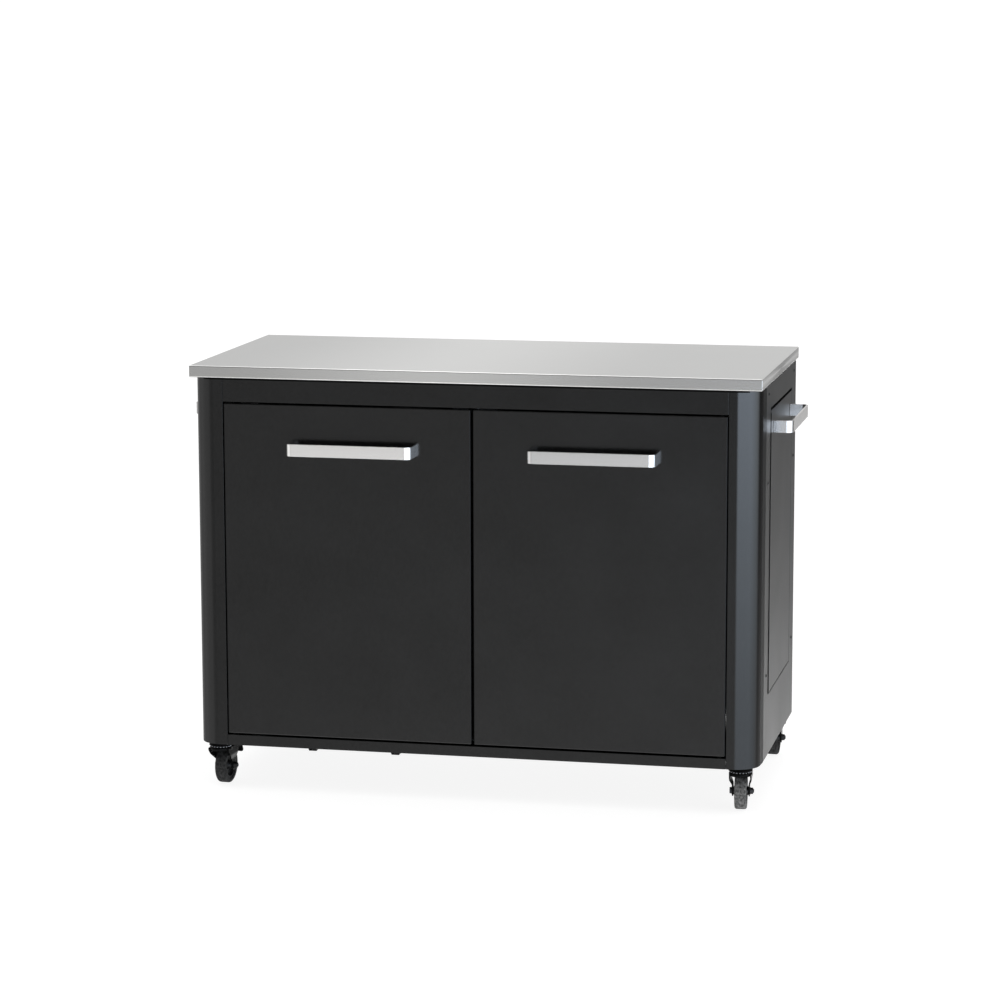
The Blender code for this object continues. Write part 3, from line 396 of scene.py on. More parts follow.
# Coats give colour, roughness, specular, grain, relief and speckle. Brushed steels give
# colour, roughness, strokes, relief, and the grain's axis and turn. Small metals give
# colour, roughness and metallic share.
X_STROKES = (9.0, 1900.0, 1900.0)
Y_STROKES = (1900.0, 9.0, 1900.0)
MATERIALS = {
    # The worktop's paler band is a painted reflection.
    "worktop_steel": brushed_material(
        "worktop_steel", (0.62, 0.62, 0.61), 0.20, (6.0, 1500.0, 1500.0), 0.000008, "X", 0.0,
        painted_sheen=0.38),
    # The door handles are one steel: the left takes a lit copy, the right a darker copy as painted shade.
    "handle_x_steel": brushed_material(
        "handle_x_steel", (1.0, 0.985, 0.97), 0.26, X_STROKES, 0.000010, "Z", 0.25),
    "handle_x_shaded": brushed_material(
        "handle_x_shaded", (0.78, 0.775, 0.77), 0.24, X_STROKES, 0.000010, "Z", 0.25),
    # The side handles' steel is darkened as painted shade.
    "handle_y_shaded_steel": brushed_material(
        "handle_y_shaded_steel", (0.66, 0.65, 0.64), 0.24, Y_STROKES, 0.000010, "Z", 0.25),
    "powder_coat": coat_material(
        "powder_coat_black", grey(0.0034), 0.17, 0.45, 270.0, 0.00003, 1.0),
    "door_coat": coat_material("door_coat_black", grey(0.0036), 0.17, 0.5, 270.0, 0.00003, 1.0),
    "side_coat": coat_material(
        "side_coat_black", (0.006, 0.006, 0.0062), 0.38, 0.4, 700.0, 0.00005, 0.35),
    # A darker, duller copy of the powder coat, as painted shade on door folds and the right post's side.
    "shaded_edge_coat": coat_material("shaded_edge_coat_black", grey(0.004), 0.34, 0.2, 700.0, 0.00003, 0.5),
    # Flat black with no sheen: painted shade for gaps, slots, the hem and the inserts' edges.
    "shade_black": coat_material("shade_black", grey(0.004), 0.80, 0.0),
    "hub_plastic": coat_material(
        "hub_black_plastic", (0.010, 0.010, 0.011), 0.40, 0.5, 1200.0, 0.00003),
    "catch_plastic": coat_material(
        "catch_plastic_black", grey(0.018), 0.45, 0.5, 1200.0, 0.00003),
    "zinc_steel": plain_metal("zinc_plated_steel", (0.50, 0.51, 0.53), 0.35),
    "caster_steel": plain_metal("caster_black_steel", grey(0.004), 0.32, 0.0, specular=0.05),
    "bright_steel": plain_metal("bright_steel", (0.72, 0.72, 0.73), 0.16),
    # Bearing steel darkened as painted shade, so that only glints show in the race.
    "shaded_ball_steel": plain_metal("shaded_ball_steel", (0.22, 0.22, 0.23), 0.20),
    "screw_black": plain_metal("screw_black", (0.010, 0.010, 0.011), 0.35, 0.3),
    "tyre_rubber": rubber_material("tyre_grey_rubber", grey(0.030)),
    # A paler copy of the same rubber, as painted light on the front right tyre.
    "tyre_painted_light": rubber_material("tyre_painted_light_rubber", (0.135, 0.135, 0.133)),
}


# Mesh building

def to_mesh(name, bm):
    mesh = bpy.data.meshes.new(name)
    bm.to_mesh(mesh)
    bm.free()
    return mesh


def shown(name, mesh, body, material, replaced=(), place=None):
    """Link a finished mesh as a piece that rides on a body."""
    mesh.materials.clear()
    mesh.materials.append(MATERIALS[material])
    made = bpy.data.objects.new(name, mesh)
    SCENE.collection.objects.link(made)
    if place is not None:
        made.matrix_world = place
    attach(made, body)
    if replaced:
        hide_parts(*replaced)
    return made


def smooth(mesh, degrees):
    mesh.shade_smooth()
    mesh.set_sharp_from_angle(angle=math.radians(degrees))
    return mesh


def eased(obj, width=EDGE_BREAK, segments=2, degrees=32):
    """Round the piece's crisp edges and keep its flats flat."""
    obj.data.shade_smooth()
    edge = obj.modifiers.new("edge", "BEVEL")
    edge.width = width
    edge.segments = segments
    edge.limit_method = "ANGLE"
    edge.angle_limit = math.radians(degrees)
    edge.use_clamp_overlap = True
    even = obj.modifiers.new("even", "WEIGHTED_NORMAL")
    even.weight = 100
    even.keep_sharp = False
    return obj


def thickened(obj, wall):
    """Give an open sheet its wall, on the inner side."""
    thick = obj.modifiers.new("wall", "SOLIDIFY")
    thick.thickness = wall
    thick.offset = -1.0
    thick.use_even_offset = True
    return obj


def baked(obj, name):
    """The evaluated mesh of an object, which is then removed."""
    graph = bpy.context.evaluated_depsgraph_get()
    mesh = bpy.data.meshes.new_from_object(obj.evaluated_get(graph), depsgraph=graph)
    mesh.name = name
    bpy.data.objects.remove(obj, do_unlink=True)
    return mesh


def combined(name, base, others, operation):
    """The base mesh after one boolean step with each of the others."""
    body = bpy.data.objects.new(name + "_body", base)
    SCENE.collection.objects.link(body)
    tools = []
    for index, mesh in enumerate(others):
        tool = bpy.data.objects.new(f"{name}_tool_{index}", mesh)
        SCENE.collection.objects.link(tool)
        step = body.modifiers.new(f"step_{index}", "BOOLEAN")
        step.operation = operation
        step.solver = "EXACT"
        step.object = tool
        tools.append(tool)
    mesh = baked(body, name)
    for tool in tools:
        bpy.data.objects.remove(tool, do_unlink=True)
    return mesh


def arc(centre, radius, start, end, segments):
    """Points along an arc from one angle to another, in degrees."""
    points = []
    for index in range(segments + 1):
        angle = math.radians(start + (end - start) * index / segments)
        points.append((centre[0] + radius * math.cos(angle), centre[1] + radius * math.sin(angle)))
    return points


def turned(name, profile, steps, closed=False):
    """Turn (radius, height) points about Z into a closed mesh."""
    bm = bmesh.new()
    verts = [bm.verts.new((radius, 0.0, height)) for radius, height in profile]
    edges = [bm.edges.new(pair) for pair in zip(verts, verts[1:])]
    if closed:
        edges.append(bm.edges.new((verts[-1], verts[0])))
    bmesh.ops.spin(
        bm, geom=verts + edges, cent=(0, 0, 0), axis=(0, 0, 1), angle=math.tau, steps=steps,
        use_merge=True,
    )
    bmesh.ops.remove_doubles(bm, verts=bm.verts, dist=SAME_POINT)
    bmesh.ops.recalc_face_normals(bm, faces=bm.faces)
    return to_mesh(name, bm)


def pushed(bm, grown, travel):
    """Move what an extrusion has made, then turn the normals outward."""
    moved = [item for item in grown["geom"] if isinstance(item, bmesh.types.BMVert)]
    bmesh.ops.translate(bm, verts=moved, vec=travel)
    bmesh.ops.recalc_face_normals(bm, faces=bm.faces)


def plate(name, outline, low, high):
    """An outline of (y, z) points extruded from low to high along X."""
    bm = bmesh.new()
    base = bm.faces.new([bm.verts.new((low, y, z)) for y, z in outline])
    grown = bmesh.ops.extrude_face_region(bm, geom=[base])
    pushed(bm, grown, (high - low, 0.0, 0.0))
    return to_mesh(name, bm)


def rod(name, radius, start, end, segments=32):
    """A closed cylinder from one point to another."""
    start = Vector(start)
    end = Vector(end)
    turn = (end - start).to_track_quat("Z", "Y").to_matrix().to_4x4()
    bm = bmesh.new()
    bmesh.ops.create_cone(
        bm, cap_ends=True, segments=segments, radius1=radius, radius2=radius,
        depth=(end - start).length, matrix=Matrix.Translation((start + end) / 2) @ turn,
    )
    return to_mesh(name, bm)


def strip_mesh(name, points, along):
    """An open sheet swept from a line of points along a vector."""
    bm = bmesh.new()
    verts = [bm.verts.new(point) for point in points]
    edges = [bm.edges.new(pair) for pair in zip(verts, verts[1:])]
    pushed(bm, bmesh.ops.extrude_edge_only(bm, edges=edges), along)
    first = next(face for face in bm.faces if edges[0] in face.edges)
    travel = Vector(points[1]) - Vector(points[0])
    if first.normal.dot(travel.cross(Vector(along))) < 0.0:
        bmesh.ops.reverse_faces(bm, faces=bm.faces)
    return to_mesh(name, bm)


# Pieces carried over from the solids with eased edges

def raise_slot(mesh, node):
    """Lift the slot above a side insert to the height at which it is drawn."""
    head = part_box(node.replace("panel", "insert"))[1].z
    for vert in mesh.vertices:
        if abs(vert.co.z - head) < SLOT_REACH:
            vert.co.z += SLOT_RISE


def mark_faces(mesh, material, shares):
    """Give the material to the faces whose normal's share along X is between the two."""
    mesh.materials.append(MATERIALS[material])
    for face in mesh.polygons:
        face.material_index = 1 if shares[0] < abs(face.normal.x) < shares[1] else 0


def dressed(node):
    """The node's own form with its flats joined and its edges eased."""
    bm = bmesh.new()
    bm.from_mesh(NODES[node].data)
    bmesh.ops.remove_doubles(bm, verts=bm.verts, dist=SAME_POINT)
    bmesh.ops.dissolve_limit(bm, angle_limit=FLAT_ANGLE, verts=bm.verts, edges=bm.edges)
    mesh = to_mesh(node + "_eased", bm)
    if node.startswith("side_"):
        raise_slot(mesh, node)
    slot = SLOT_OF[node]
    finish = FINISH_OF.get(node, slot)
    made = shown(node + "_eased", mesh, BODY_OF[node], finish, (node,))
    if node.startswith("side_insert"):
        # The insert's edge faces at its slot get flat black as painted shade.
        mark_faces(mesh, "shade_black", INSERT_EDGE_SHARES)
        near = min(vert.co.y for vert in mesh.vertices)
        for vert in mesh.vertices:
            if vert.co.y < near + INSERT_EDGE_REACH:
                vert.co.y += INSERT_SETBACK
    elif node.startswith("door_panel"):
        # The door's folds into its gaps get the darker coat as painted shade.
        mark_faces(mesh, "shaded_edge_coat", DOOR_FOLD_SHARES)
    return eased(made)


def dress_cabinet():
    for node in NODES:
        if node not in OWN_SECTION and not any(word in node for word in OWN_SECTION_WORDS):
            dressed(node)


# Worktop

def build_worktop():
    """Folded steel top: rounded folds, welded corners and a hemmed lower lip."""
    low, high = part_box("worktop_skin")
    centre = (low + high) / 2
    size = high - low
    bm = bmesh.new()
    block = Matrix.Translation(centre) @ Matrix.Diagonal((*size, 1.0))
    bmesh.ops.create_cube(bm, size=1.0, matrix=block)
    under = [face for face in bm.faces if face.normal.z < -0.9]
    folds = [
        edge for edge in bm.edges
        if abs(edge.verts[0].co.z - edge.verts[1].co.z) < SAME_HEIGHT
    ]
    bmesh.ops.inset_region(bm, faces=under, thickness=HEM_WIDTH, use_even_offset=True)
    bmesh.ops.delete(bm, geom=under, context="FACES")
    bmesh.ops.bevel(
        bm, geom=folds, offset=WORKTOP_RADIUS, segments=6, profile=0.5, affect="EDGES",
    )
    mesh = to_mesh("worktop_sheet", bm)
    made = shown("worktop_sheet", mesh, "cabinet", "worktop_steel", ("worktop_skin",))
    return eased(thickened(made, WORKTOP_WALL), SHEET_EDGE_BREAK, degrees=40)


# Front posts

def build_front_posts():
    """Folded posts with a smooth round corner, closed below by a foot. The right post's
    corner is a little wider than in its solid, and its side leans in."""
    for label, side in SIDES:
        node = f"front_post_{label}"
        low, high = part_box(node)
        inner = min(abs(low.x), abs(high.x))
        outer = max(abs(low.x), abs(high.x))
        leans = side > 0
        radius = POST_WIDE_RADIUS if leans else POST_CORNER_RADIUS
        corner = (outer - radius - (POST_LEAN if leans else 0.0), low.y + radius)
        points = [(inner, low.y + POST_RETURN), (inner, low.y)]
        points += arc(corner, radius, -90, POST_LEAN_END if leans else 0, 40)
        points += arc((outer - FOLD_RADIUS, high.y - FOLD_RADIUS), FOLD_RADIUS, 0, 90, 6)
        points += [(outer - POST_RETURN, high.y)]
        bm = bmesh.new()
        base = bm.faces.new([bm.verts.new((side * x, y, low.z)) for x, y in points])
        walls = [edge for index, edge in enumerate(base.edges) if index != len(points) - 1]
        grown = bmesh.ops.extrude_edge_only(bm, edges=walls)
        pushed(bm, grown, (0.0, 0.0, high.z - low.z))
        base.normal_update()
        if base.normal.z > 0.0:
            bmesh.ops.reverse_faces(bm, faces=bm.faces)
        mesh = to_mesh(node, bm)
        made = shown(f"{node}_sheet", mesh, "cabinet", "powder_coat", (node,))
        # The right post's flat side gets the darker coat as painted shade.
        mesh.materials.append(MATERIALS["shaded_edge_coat"])
        for face in mesh.polygons:
            flat_side = face.normal.x > POST_SIDE_SHARE and face.area > POST_SIDE_AREA
            face.material_index = 1 if leans and flat_side else 0
        width = SHEET_EDGE_BREAK if leans else LEFT_POST_EDGE_BREAK
        eased(thickened(made, SHEET), width, degrees=40)


# Shadow strips

def build_shadow_strips():
    """A black strip under the worktop's front hem and a black bead down each insert's front edge, both painted
    shade in place of the shadow lines there.
    """
    low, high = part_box("front_post_right")
    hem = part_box("worktop_skin")[0].z
    corner = (high.x - POST_CORNER_RADIUS, low.y + POST_CORNER_RADIUS)
    half = arc(corner, POST_CORNER_RADIUS + SHADOW_STRIP_PROUD, -90, SHADOW_STRIP_END, 8)
    line = [(-x, y, hem - SHADOW_STRIP_DROP) for x, y in reversed(half)]
    line += [(x, y, hem - SHADOW_STRIP_DROP) for x, y in half]
    mesh = strip_mesh("hem_shadow_strip", line, (0.0, 0.0, SHADOW_STRIP_HEIGHT))
    made = shown("hem_shadow_strip", mesh, "cabinet", "shade_black")
    thickened(made, SHADOW_STRIP_PROUD)
    for label, side in SIDES:
        low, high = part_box(f"side_insert_{label}")
        x = high.x if side > 0 else low.x
        y = low.y + SHADOW_BEAD_INSET
        foot = (x, y, low.z + SHADOW_BEAD_END_GAP)
        head = (x, y, high.z - SHADOW_BEAD_END_GAP)
        mesh = smooth(rod("bead", SHADOW_BEAD_RADIUS, foot, head, 16), 40)
        shown(f"insert_shadow_bead_{label}", mesh, "cabinet", "shade_black")


# Handles

def build_handles():
    """Flat bars bent to brackets with rounded outer bends and eased edges."""
    for node in ("door_handle_left", "door_handle_right", "side_handle_left", "side_handle_right"):
        low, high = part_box(node)
        centre = (low + high) / 2
        size = high - low
        if node.startswith("door"):
            half = size.x / 2
            reach = size.y
            turn = 0.0
            origin = Vector((centre.x, high.y, centre.z))
            # The right handle's darker steel is painted shade.
            material = "handle_x_steel" if centre.x < 0 else "handle_x_shaded"
        else:
            side = 1 if centre.x > 0 else -1
            half = size.y / 2
            reach = size.x
            turn = side * math.radians(90)
            origin = Vector((low.x if side > 0 else high.x, centre.y, centre.z))
            # Darker copy of the handles' steel, as painted shade.
            material = "handle_y_shaded_steel"
        inner = half - HANDLE_RADIUS
        line = [(-half, 0.0)]
        line += arc((-inner, HANDLE_RADIUS - reach), HANDLE_RADIUS, 180, 270, 14)
        line += arc((inner, HANDLE_RADIUS - reach), HANDLE_RADIUS, -90, 0, 14)
        line += [(half, 0.0)]
        mesh = strip_mesh(node, [(x, y, -size.z / 2) for x, y in line], (0.0, 0.0, size.z))
        mesh.transform(Matrix.Translation(origin) @ Matrix.Rotation(turn, 4, "Z"))
        made = shown(f"{node}_bar", mesh, BODY_OF[node], material, (node,))
        eased(thickened(made, HANDLE_THICKNESS), HANDLE_EDGE_BREAK, segments=3, degrees=40)


# Casters

def mount_mesh():
    """Stem, nut, flared upper race with a rolled rim, and the kingpin."""
    foot = CASTER_HEIGHT + SHEET + RUNNING_GAP
    stem_top = foot + STEM_RISE
    nut_top = foot + NUT_HEIGHT
    race_top = CASTER_HEIGHT - RUNNING_GAP
    rim = CROWN_TOP + 0.0020
    lower_race = CROWN_TOP - 0.0039
    profile = [
        (0.0, stem_top), (STEM_RADIUS - 0.0006, stem_top), (STEM_RADIUS, stem_top - 0.0006),
        (STEM_RADIUS, nut_top), (NUT_RADIUS, nut_top), (NUT_RADIUS, foot), (STEM_RADIUS, foot),
        (STEM_RADIUS, race_top), (RACE_RADIUS - 0.0040, race_top),
        (RACE_RADIUS - 0.0026, CASTER_HEIGHT - 0.0009), (RACE_RADIUS - 0.0010, rim + 0.0036),
        (RACE_RADIUS - 0.0002, rim + 0.0020), (RACE_RADIUS, rim + 0.0012),
        (RACE_RADIUS, rim + 0.0004), (RACE_RADIUS - 0.0004, rim),
        (BALL_ROW_RADIUS + 0.0005, rim), (BALL_ROW_RADIUS - 0.0010, lower_race),
        (KINGPIN_RADIUS, lower_race - RUNNING_GAP), (KINGPIN_RADIUS, CROWN_BOTTOM - RUNNING_GAP),
        (0.0090, CROWN_BOTTOM - RUNNING_GAP), (0.0084, CROWN_BOTTOM - 0.0020),
        (0.0072, CROWN_BOTTOM - 0.0031), (0.0, CROWN_BOTTOM - 0.0034),
    ]
    return turned("caster_mount", profile, 64)


def leg_outline():
    """The leg as (y, z) points: shoulder, ear for the pedal's pivot, boss for the axle."""
    pivot_y, pivot_z = PEDAL_PIVOT
    shoulder = CROWN_BOTTOM + 0.0045
    outline = [
        (LEG_FRONT, shoulder), (pivot_y - 0.012, shoulder),
        (pivot_y - 0.005, pivot_z + PIVOT_EAR_RADIUS),
    ]
    outline += arc(PEDAL_PIVOT, PIVOT_EAR_RADIUS, 90, -20, 12)
    outline += [
        (pivot_y + PIVOT_EAR_RADIUS - 0.001, pivot_z - 0.006),
        (CASTER_TRAIL + LEG_BOSS_RADIUS, WHEEL_RADIUS + 0.018),
    ]
    outline += arc((CASTER_TRAIL, WHEEL_RADIUS), LEG_BOSS_RADIUS, 0, -180, 24)
    outline += [
        (0.0145, WHEEL_RADIUS + 0.014), (-0.006, CROWN_BOTTOM - 0.009), (LEG_FRONT, CROWN_BOTTOM),
    ]
    return outline


def fork_leg(side):
    """A flat leg, cut into rows over its joggle and bent inward there."""
    leg = plate("leg", leg_outline(), side * (LEG_TOP_X - LEG_THICKNESS), side * LEG_TOP_X)
    bend_top = WHEEL_RADIUS + 0.0285
    bend_bottom = WHEEL_RADIUS + 0.0145
    bm = bmesh.new()
    bm.from_mesh(leg)
    for step in range(LEG_BEND_STEPS + 1):
        height = bend_top + (bend_bottom - bend_top) * step / LEG_BEND_STEPS
        geometry = list(bm.verts) + list(bm.edges) + list(bm.faces)
        bmesh.ops.bisect_plane(bm, geom=geometry, plane_co=(0, 0, height), plane_no=(0, 0, 1))
    for vert in bm.verts:
        share = min(max((bend_top - vert.co.z) / (bend_top - bend_bottom), 0.0), 1.0)
        share = 0.7 * share + 0.3 * share * share * (3.0 - 2.0 * share)
        vert.co.x -= side * (LEG_TOP_X - LEG_AXLE_X) * share
    bmesh.ops.recalc_face_normals(bm, faces=bm.faces)
    return to_mesh("leg", bm)


def cross_rod(name, radius, reach, y, z):
    """A rod along X through (y, z), as long on either side of the middle."""
    return rod(name, radius, (-reach, y, z), (reach, y, z))


def fork_mesh():
    """Pressed crown with a rolled rim, two joggled legs and their holes."""
    groove = CROWN_TOP - 0.0045
    profile = [
        (KINGPIN_BORE, groove), (BALL_ROW_RADIUS - 0.0004, groove),
        (BALL_ROW_RADIUS + 0.0011, CROWN_TOP), (BALL_ROW_RADIUS + 0.0022, CROWN_TOP),
        (BALL_ROW_RADIUS + 0.0031, CROWN_TOP - 0.0010),
        (CROWN_RADIUS - 0.0004, CROWN_BOTTOM + 0.0058), (CROWN_RADIUS, CROWN_BOTTOM + 0.0046),
        (CROWN_RADIUS, CROWN_BOTTOM + 0.0024), (CROWN_RADIUS - 0.0006, CROWN_BOTTOM + 0.0008),
        (CROWN_RADIUS - 0.0020, CROWN_BOTTOM), (KINGPIN_BORE, CROWN_BOTTOM),
    ]
    crown = turned("fork_crown", profile, 64, closed=True)
    body = combined("fork_body", crown, [fork_leg(-1), fork_leg(1)], "UNION")
    outside = LEG_TOP_X + LEG_THICKNESS
    axle = cross_rod("axle_hole", AXLE_HOLE_RADIUS, outside, CASTER_TRAIL, WHEEL_RADIUS)
    pedal = cross_rod("pedal_hole", PIVOT_HOLE_RADIUS, outside, *PEDAL_PIVOT)
    return combined("caster_fork", body, [axle, pedal], "DIFFERENCE")


def mirrored(half):
    """A (radius, height) half profile and its mirror image below, as one line."""
    return half + [(radius, -height) for radius, height in reversed(half)]


def tyre_mesh():
    """A soft tyre with round shoulders and a faint mould seam round its middle."""
    half = TYRE_HALF_WIDTH
    shoulder = (WHEEL_RADIUS - TYRE_SHOULDER, half - TYRE_SHOULDER)
    upper = [(TYRE_INNER_RADIUS, half - 0.001), (0.0292, half)]
    upper += arc(shoulder, TYRE_SHOULDER, 90, 8, 8)
    upper += [(WHEEL_RADIUS, 0.0035), (WHEEL_RADIUS, 0.0004)]
    lower = [(radius, -height) for radius, height in reversed(upper)]
    return turned("tyre", upper + [(WHEEL_RADIUS - 0.0002, 0.0)] + lower, 96, closed=True)


def hub_mesh():
    """Moulded hub: rim, dished web with a raised ring, and a boss."""
    half = [
        (0.0043, 0.0150), (0.0080, 0.0150), (0.0090, 0.0142), (0.0096, 0.0060), (0.0106, 0.0040),
        (0.0150, 0.0036), (0.0155, 0.0046), (0.0172, 0.0046), (0.0177, 0.0036), (0.0215, 0.0036),
        (0.0229, 0.0050), (0.0237, 0.0094), (0.0243, 0.0100), (0.0272, 0.0100),
    ]
    return turned("hub", mirrored(half), 72, closed=True)


def axle_mesh():
    """Bolt head, washers, nut and the thread's end, each as (name, radius, start, end)."""
    face = LEG_AXLE_X + RUNNING_GAP
    shank = rod("shank", AXLE_RADIUS, (-face, 0, 0), (face + 0.0075, 0, 0))
    others = [
        rod(name, radius, (start, 0, 0), (end, 0, 0), segments)
        for name, radius, start, end, segments in (
            ("head_washer", AXLE_WASHER_RADIUS, -face - 0.0009, -face, 32),
            ("head", AXLE_HEAD_RADIUS, -face - 0.0048, -face - 0.0005, 6),
            ("nut_washer", AXLE_WASHER_RADIUS, face, face + 0.0009, 32),
            ("nut", AXLE_HEAD_RADIUS, face + 0.0005, face + 0.0060, 6),
            ("tip", 0.0034, face + 0.0070, face + 0.0080, 32),
        )
    ]
    return combined("axle_bolt", shank, others, "UNION")


def tread_mesh():
    """The brake lever's bent tread with round corners at its tip."""
    line = [(0.0085, 0.0035), (0.0200, 0.0), (0.0310, -0.0115), (PEDAL_TIP, -0.0245)]
    points = [(PEDAL_HALF_WIDTH, y, z) for y, z in line]
    strip = strip_mesh("pedal_tread", points, (-2 * PEDAL_HALF_WIDTH, 0.0, 0.0))
    sheet = bpy.data.objects.new("pedal_sheet", strip)
    SCENE.collection.objects.link(sheet)
    thickened(sheet, PEDAL_WALL)
    tread = baked(sheet, "pedal_tread")
    bm = bmesh.new()
    bm.from_mesh(tread)
    tips = [
        edge for edge in bm.edges
        if min(vert.co.y for vert in edge.verts) > PEDAL_TIP - 0.0038
        and abs(edge.verts[0].co.x - edge.verts[1].co.x) < PEDAL_WALL
    ]
    bmesh.ops.bevel(bm, geom=tips, offset=PEDAL_CORNER, segments=6, profile=0.5, affect="EDGES")
    bm.to_mesh(tread)
    bm.free()
    return tread


def pedal_mesh():
    """Brake lever: its tread, two cheeks, brake pad and pins."""
    cheek = [(0.0, CHEEK_EYE_RADIUS)] + arc((0.0, 0.0), CHEEK_EYE_RADIUS, 120, 290, 16)
    cheek += [
        (0.012, -0.0084), (0.0285, -0.0155), (0.0305, -0.0125), (0.0192, -0.0007),
        (0.0090, 0.0025),
    ]
    parts = [
        plate("cheek", cheek, side * CHEEK_INSIDE, side * CHEEK_OUTSIDE) for _, side in SIDES
    ]
    parts.append(cross_rod("pad", PAD_RADIUS, PAD_HALF_LENGTH, *PAD_PLACE))
    for _, side in SIDES:
        inner = side * (CHEEK_INSIDE + 0.0005)
        parts.append(rod("pin", PIVOT_PIN_RADIUS, (inner, 0, 0), (side * LEG_TOP_X, 0, 0), 24))
    return combined("brake_pedal", tread_mesh(), parts, "UNION")


def balls_mesh():
    """The ring of bearing balls that shows in the gap of the race."""
    bm = bmesh.new()
    for index in range(BALL_COUNT):
        angle = math.tau * index / BALL_COUNT
        across = BALL_CIRCLE_RADIUS * math.cos(angle)
        along = BALL_CIRCLE_RADIUS * math.sin(angle)
        place = Matrix.Translation((across, along, CROWN_TOP + 0.0006))
        bmesh.ops.create_icosphere(bm, subdivisions=3, radius=BALL_RADIUS, matrix=place)
    return to_mesh("race_balls", bm)


def build_casters():
    """Four casters from one set of meshes, each turned as its joints' axes say."""
    mount = smooth(mount_mesh(), 30)
    fork = fork_mesh()
    tyre = smooth(tyre_mesh(), 40)
    hub = smooth(hub_mesh(), 25)
    bolt = axle_mesh()
    pedal = pedal_mesh()
    balls = smooth(balls_mesh(), 60)
    for corner in CASTERS:
        stem = Vector(JOINTS[f"{corner}_swivel"]["pos_m"])
        axle = Vector(JOINTS[f"{corner}_wheel_spin"]["pos_m"])
        across = Vector(JOINTS[f"{corner}_wheel_spin"]["axis"])
        pivot = Vector(JOINTS[f"{corner}_brake_pedal"]["pos_m"])
        turn = Matrix.Rotation(math.atan2(across.y, across.x), 4, "Z")
        at_stem = Matrix.Translation((stem.x, stem.y, 0.0)) @ turn
        at_axle = Matrix.Translation(axle) @ turn
        at_pivot = Matrix.Translation(pivot) @ turn
        lying = at_axle @ Matrix.Rotation(math.radians(90), 4, "Y")
        cabinet = BODY_OF[f"{corner}_caster_mount"]
        # The front right tyre gets paler rubber as painted light; the others keep the plain rubber.
        rubber = "tyre_painted_light" if corner == "front_right" else "tyre_rubber"
        for piece, mesh, body, slot, material, node, place, edge in (
            ("mount_turned", mount, cabinet, "caster_steel", "caster_steel", "caster_mount",
             at_stem, 0.0),
            ("fork_pressed", fork, f"{corner}_swivel", "caster_steel", "caster_steel",
             "caster_fork", at_stem, 0.0005),
            ("race_balls", balls, f"{corner}_swivel", "zinc_steel", "shaded_ball_steel", "",
             at_stem, 0.0),
            ("tyre_round", tyre, f"{corner}_wheel", "tyre_rubber", rubber, "tyre", lying, 0.0),
            ("hub_round", hub, f"{corner}_wheel", "hub_plastic", "hub_plastic", "hub",
             lying, 0.0),
            ("axle_set", bolt, f"{corner}_swivel", "zinc_steel", "screw_black", "axle_bolt",
             at_axle, 0.0003),
            ("pedal_pressed", pedal, f"{corner}_brake", "caster_steel", "caster_steel",
             "brake_pedal", at_pivot, 0.0004),
        ):
            replaced = (f"{corner}_{node}",) if node else ()
            name = f"{corner}_{piece}"
            made = shown(name, mesh.copy(), body, material, replaced, place)
            if edge:
                eased(made, edge, degrees=35)


# Screws

def screw_mesh(radius, height):
    """A low pan head with a hexagon socket."""
    profile = [(0.0, height * 0.35), (radius * 0.42, height * 0.35), (radius * 0.42, height * 0.92)]
    profile += [(radius * 0.50, height)] + [
        (radius * math.cos(angle) ** 0.6, height * math.sin(angle) ** 0.9)
        for angle in (math.radians(70), math.radians(50), math.radians(30), math.radians(14), 0.0)
    ]
    profile += [(radius * 0.9, -0.0004), (0.0, -0.0004)]
    return smooth(turned("screw", profile, 24), 40)


def screws(name, places, normal, body, material="screw_black"):
    """One piece holding a row of equal screws whose heads face along the normal."""
    turn = Vector(normal).to_track_quat("Z", "Y").to_matrix().to_4x4()
    head = screw_mesh(SCREW_RADIUS, SCREW_HEIGHT)
    bm = bmesh.new()
    for place in places:
        copy = head.copy()
        copy.transform(Matrix.Translation(place) @ turn)
        bm.from_mesh(copy)
        bpy.data.meshes.remove(copy)
    mesh = to_mesh(name, bm)
    smooth(mesh, 40)
    return shown(name, mesh, body, material)


def build_screws():
    """Screws on the side panels and the back, and behind the door handles' feet."""
    front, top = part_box("worktop_skin")[0].y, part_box("worktop_skin")[1].z
    rows = [top - drop for drop in SIDE_SCREW_DROPS]
    for label, side in SIDES:
        x = side * max(abs(corner.x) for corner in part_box(f"side_panel_{label}"))
        places = [(x, front + depth, z) for z in rows for depth in SIDE_SCREW_DEPTHS]
        screws(f"side_screws_{label}", places, (side, 0, 0), "cabinet")
        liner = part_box(f"door_liner_{label}")[1].y
        bar_low, bar_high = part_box(f"door_handle_{label}")
        height = (bar_low.z + bar_high.z) / 2
        feet = [
            (bar_low.x + HANDLE_SCREW_INSET, liner, height),
            (bar_high.x - HANDLE_SCREW_INSET, liner, height),
        ]
        door = BODY_OF[f"door_liner_{label}"]
        screws(f"door_screws_{label}", feet, (0, 1, 0), door, "bright_steel")
    low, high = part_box("back_panel")
    first = low.x + BACK_SCREW_SIDE_INSET
    span = high.x - low.x - 2 * BACK_SCREW_SIDE_INSET
    columns = [first + span * step / (BACK_SCREW_COLUMNS - 1) for step in range(BACK_SCREW_COLUMNS)]
    rows = (low.z + BACK_SCREW_END_INSET, high.z - BACK_SCREW_END_INSET)
    places = [(x, high.y, z) for x in columns for z in rows]
    screws("back_screws", places, (0, 1, 0), "cabinet")


# Stage, light and camera

def heading_ramp(tree, share, stops):
    """Radiance by heading: 0 faces the doors' side, 90 the right side."""
    around = add(tree, "ShaderNodeValToRGB", {}, {"Fac": share})
    ramp = around.color_ramp
    while len(ramp.elements) > 1:
        ramp.elements.remove(ramp.elements[0])
    for index, (degrees, *color) in enumerate(stops):
        position = (degrees + 180.0) / 360.0
        element = ramp.elements[0] if index == 0 else ramp.elements.new(position)
        element.position = position
        element.color = (*(color * 3)[:3], 1.0)
    return around.outputs[0]


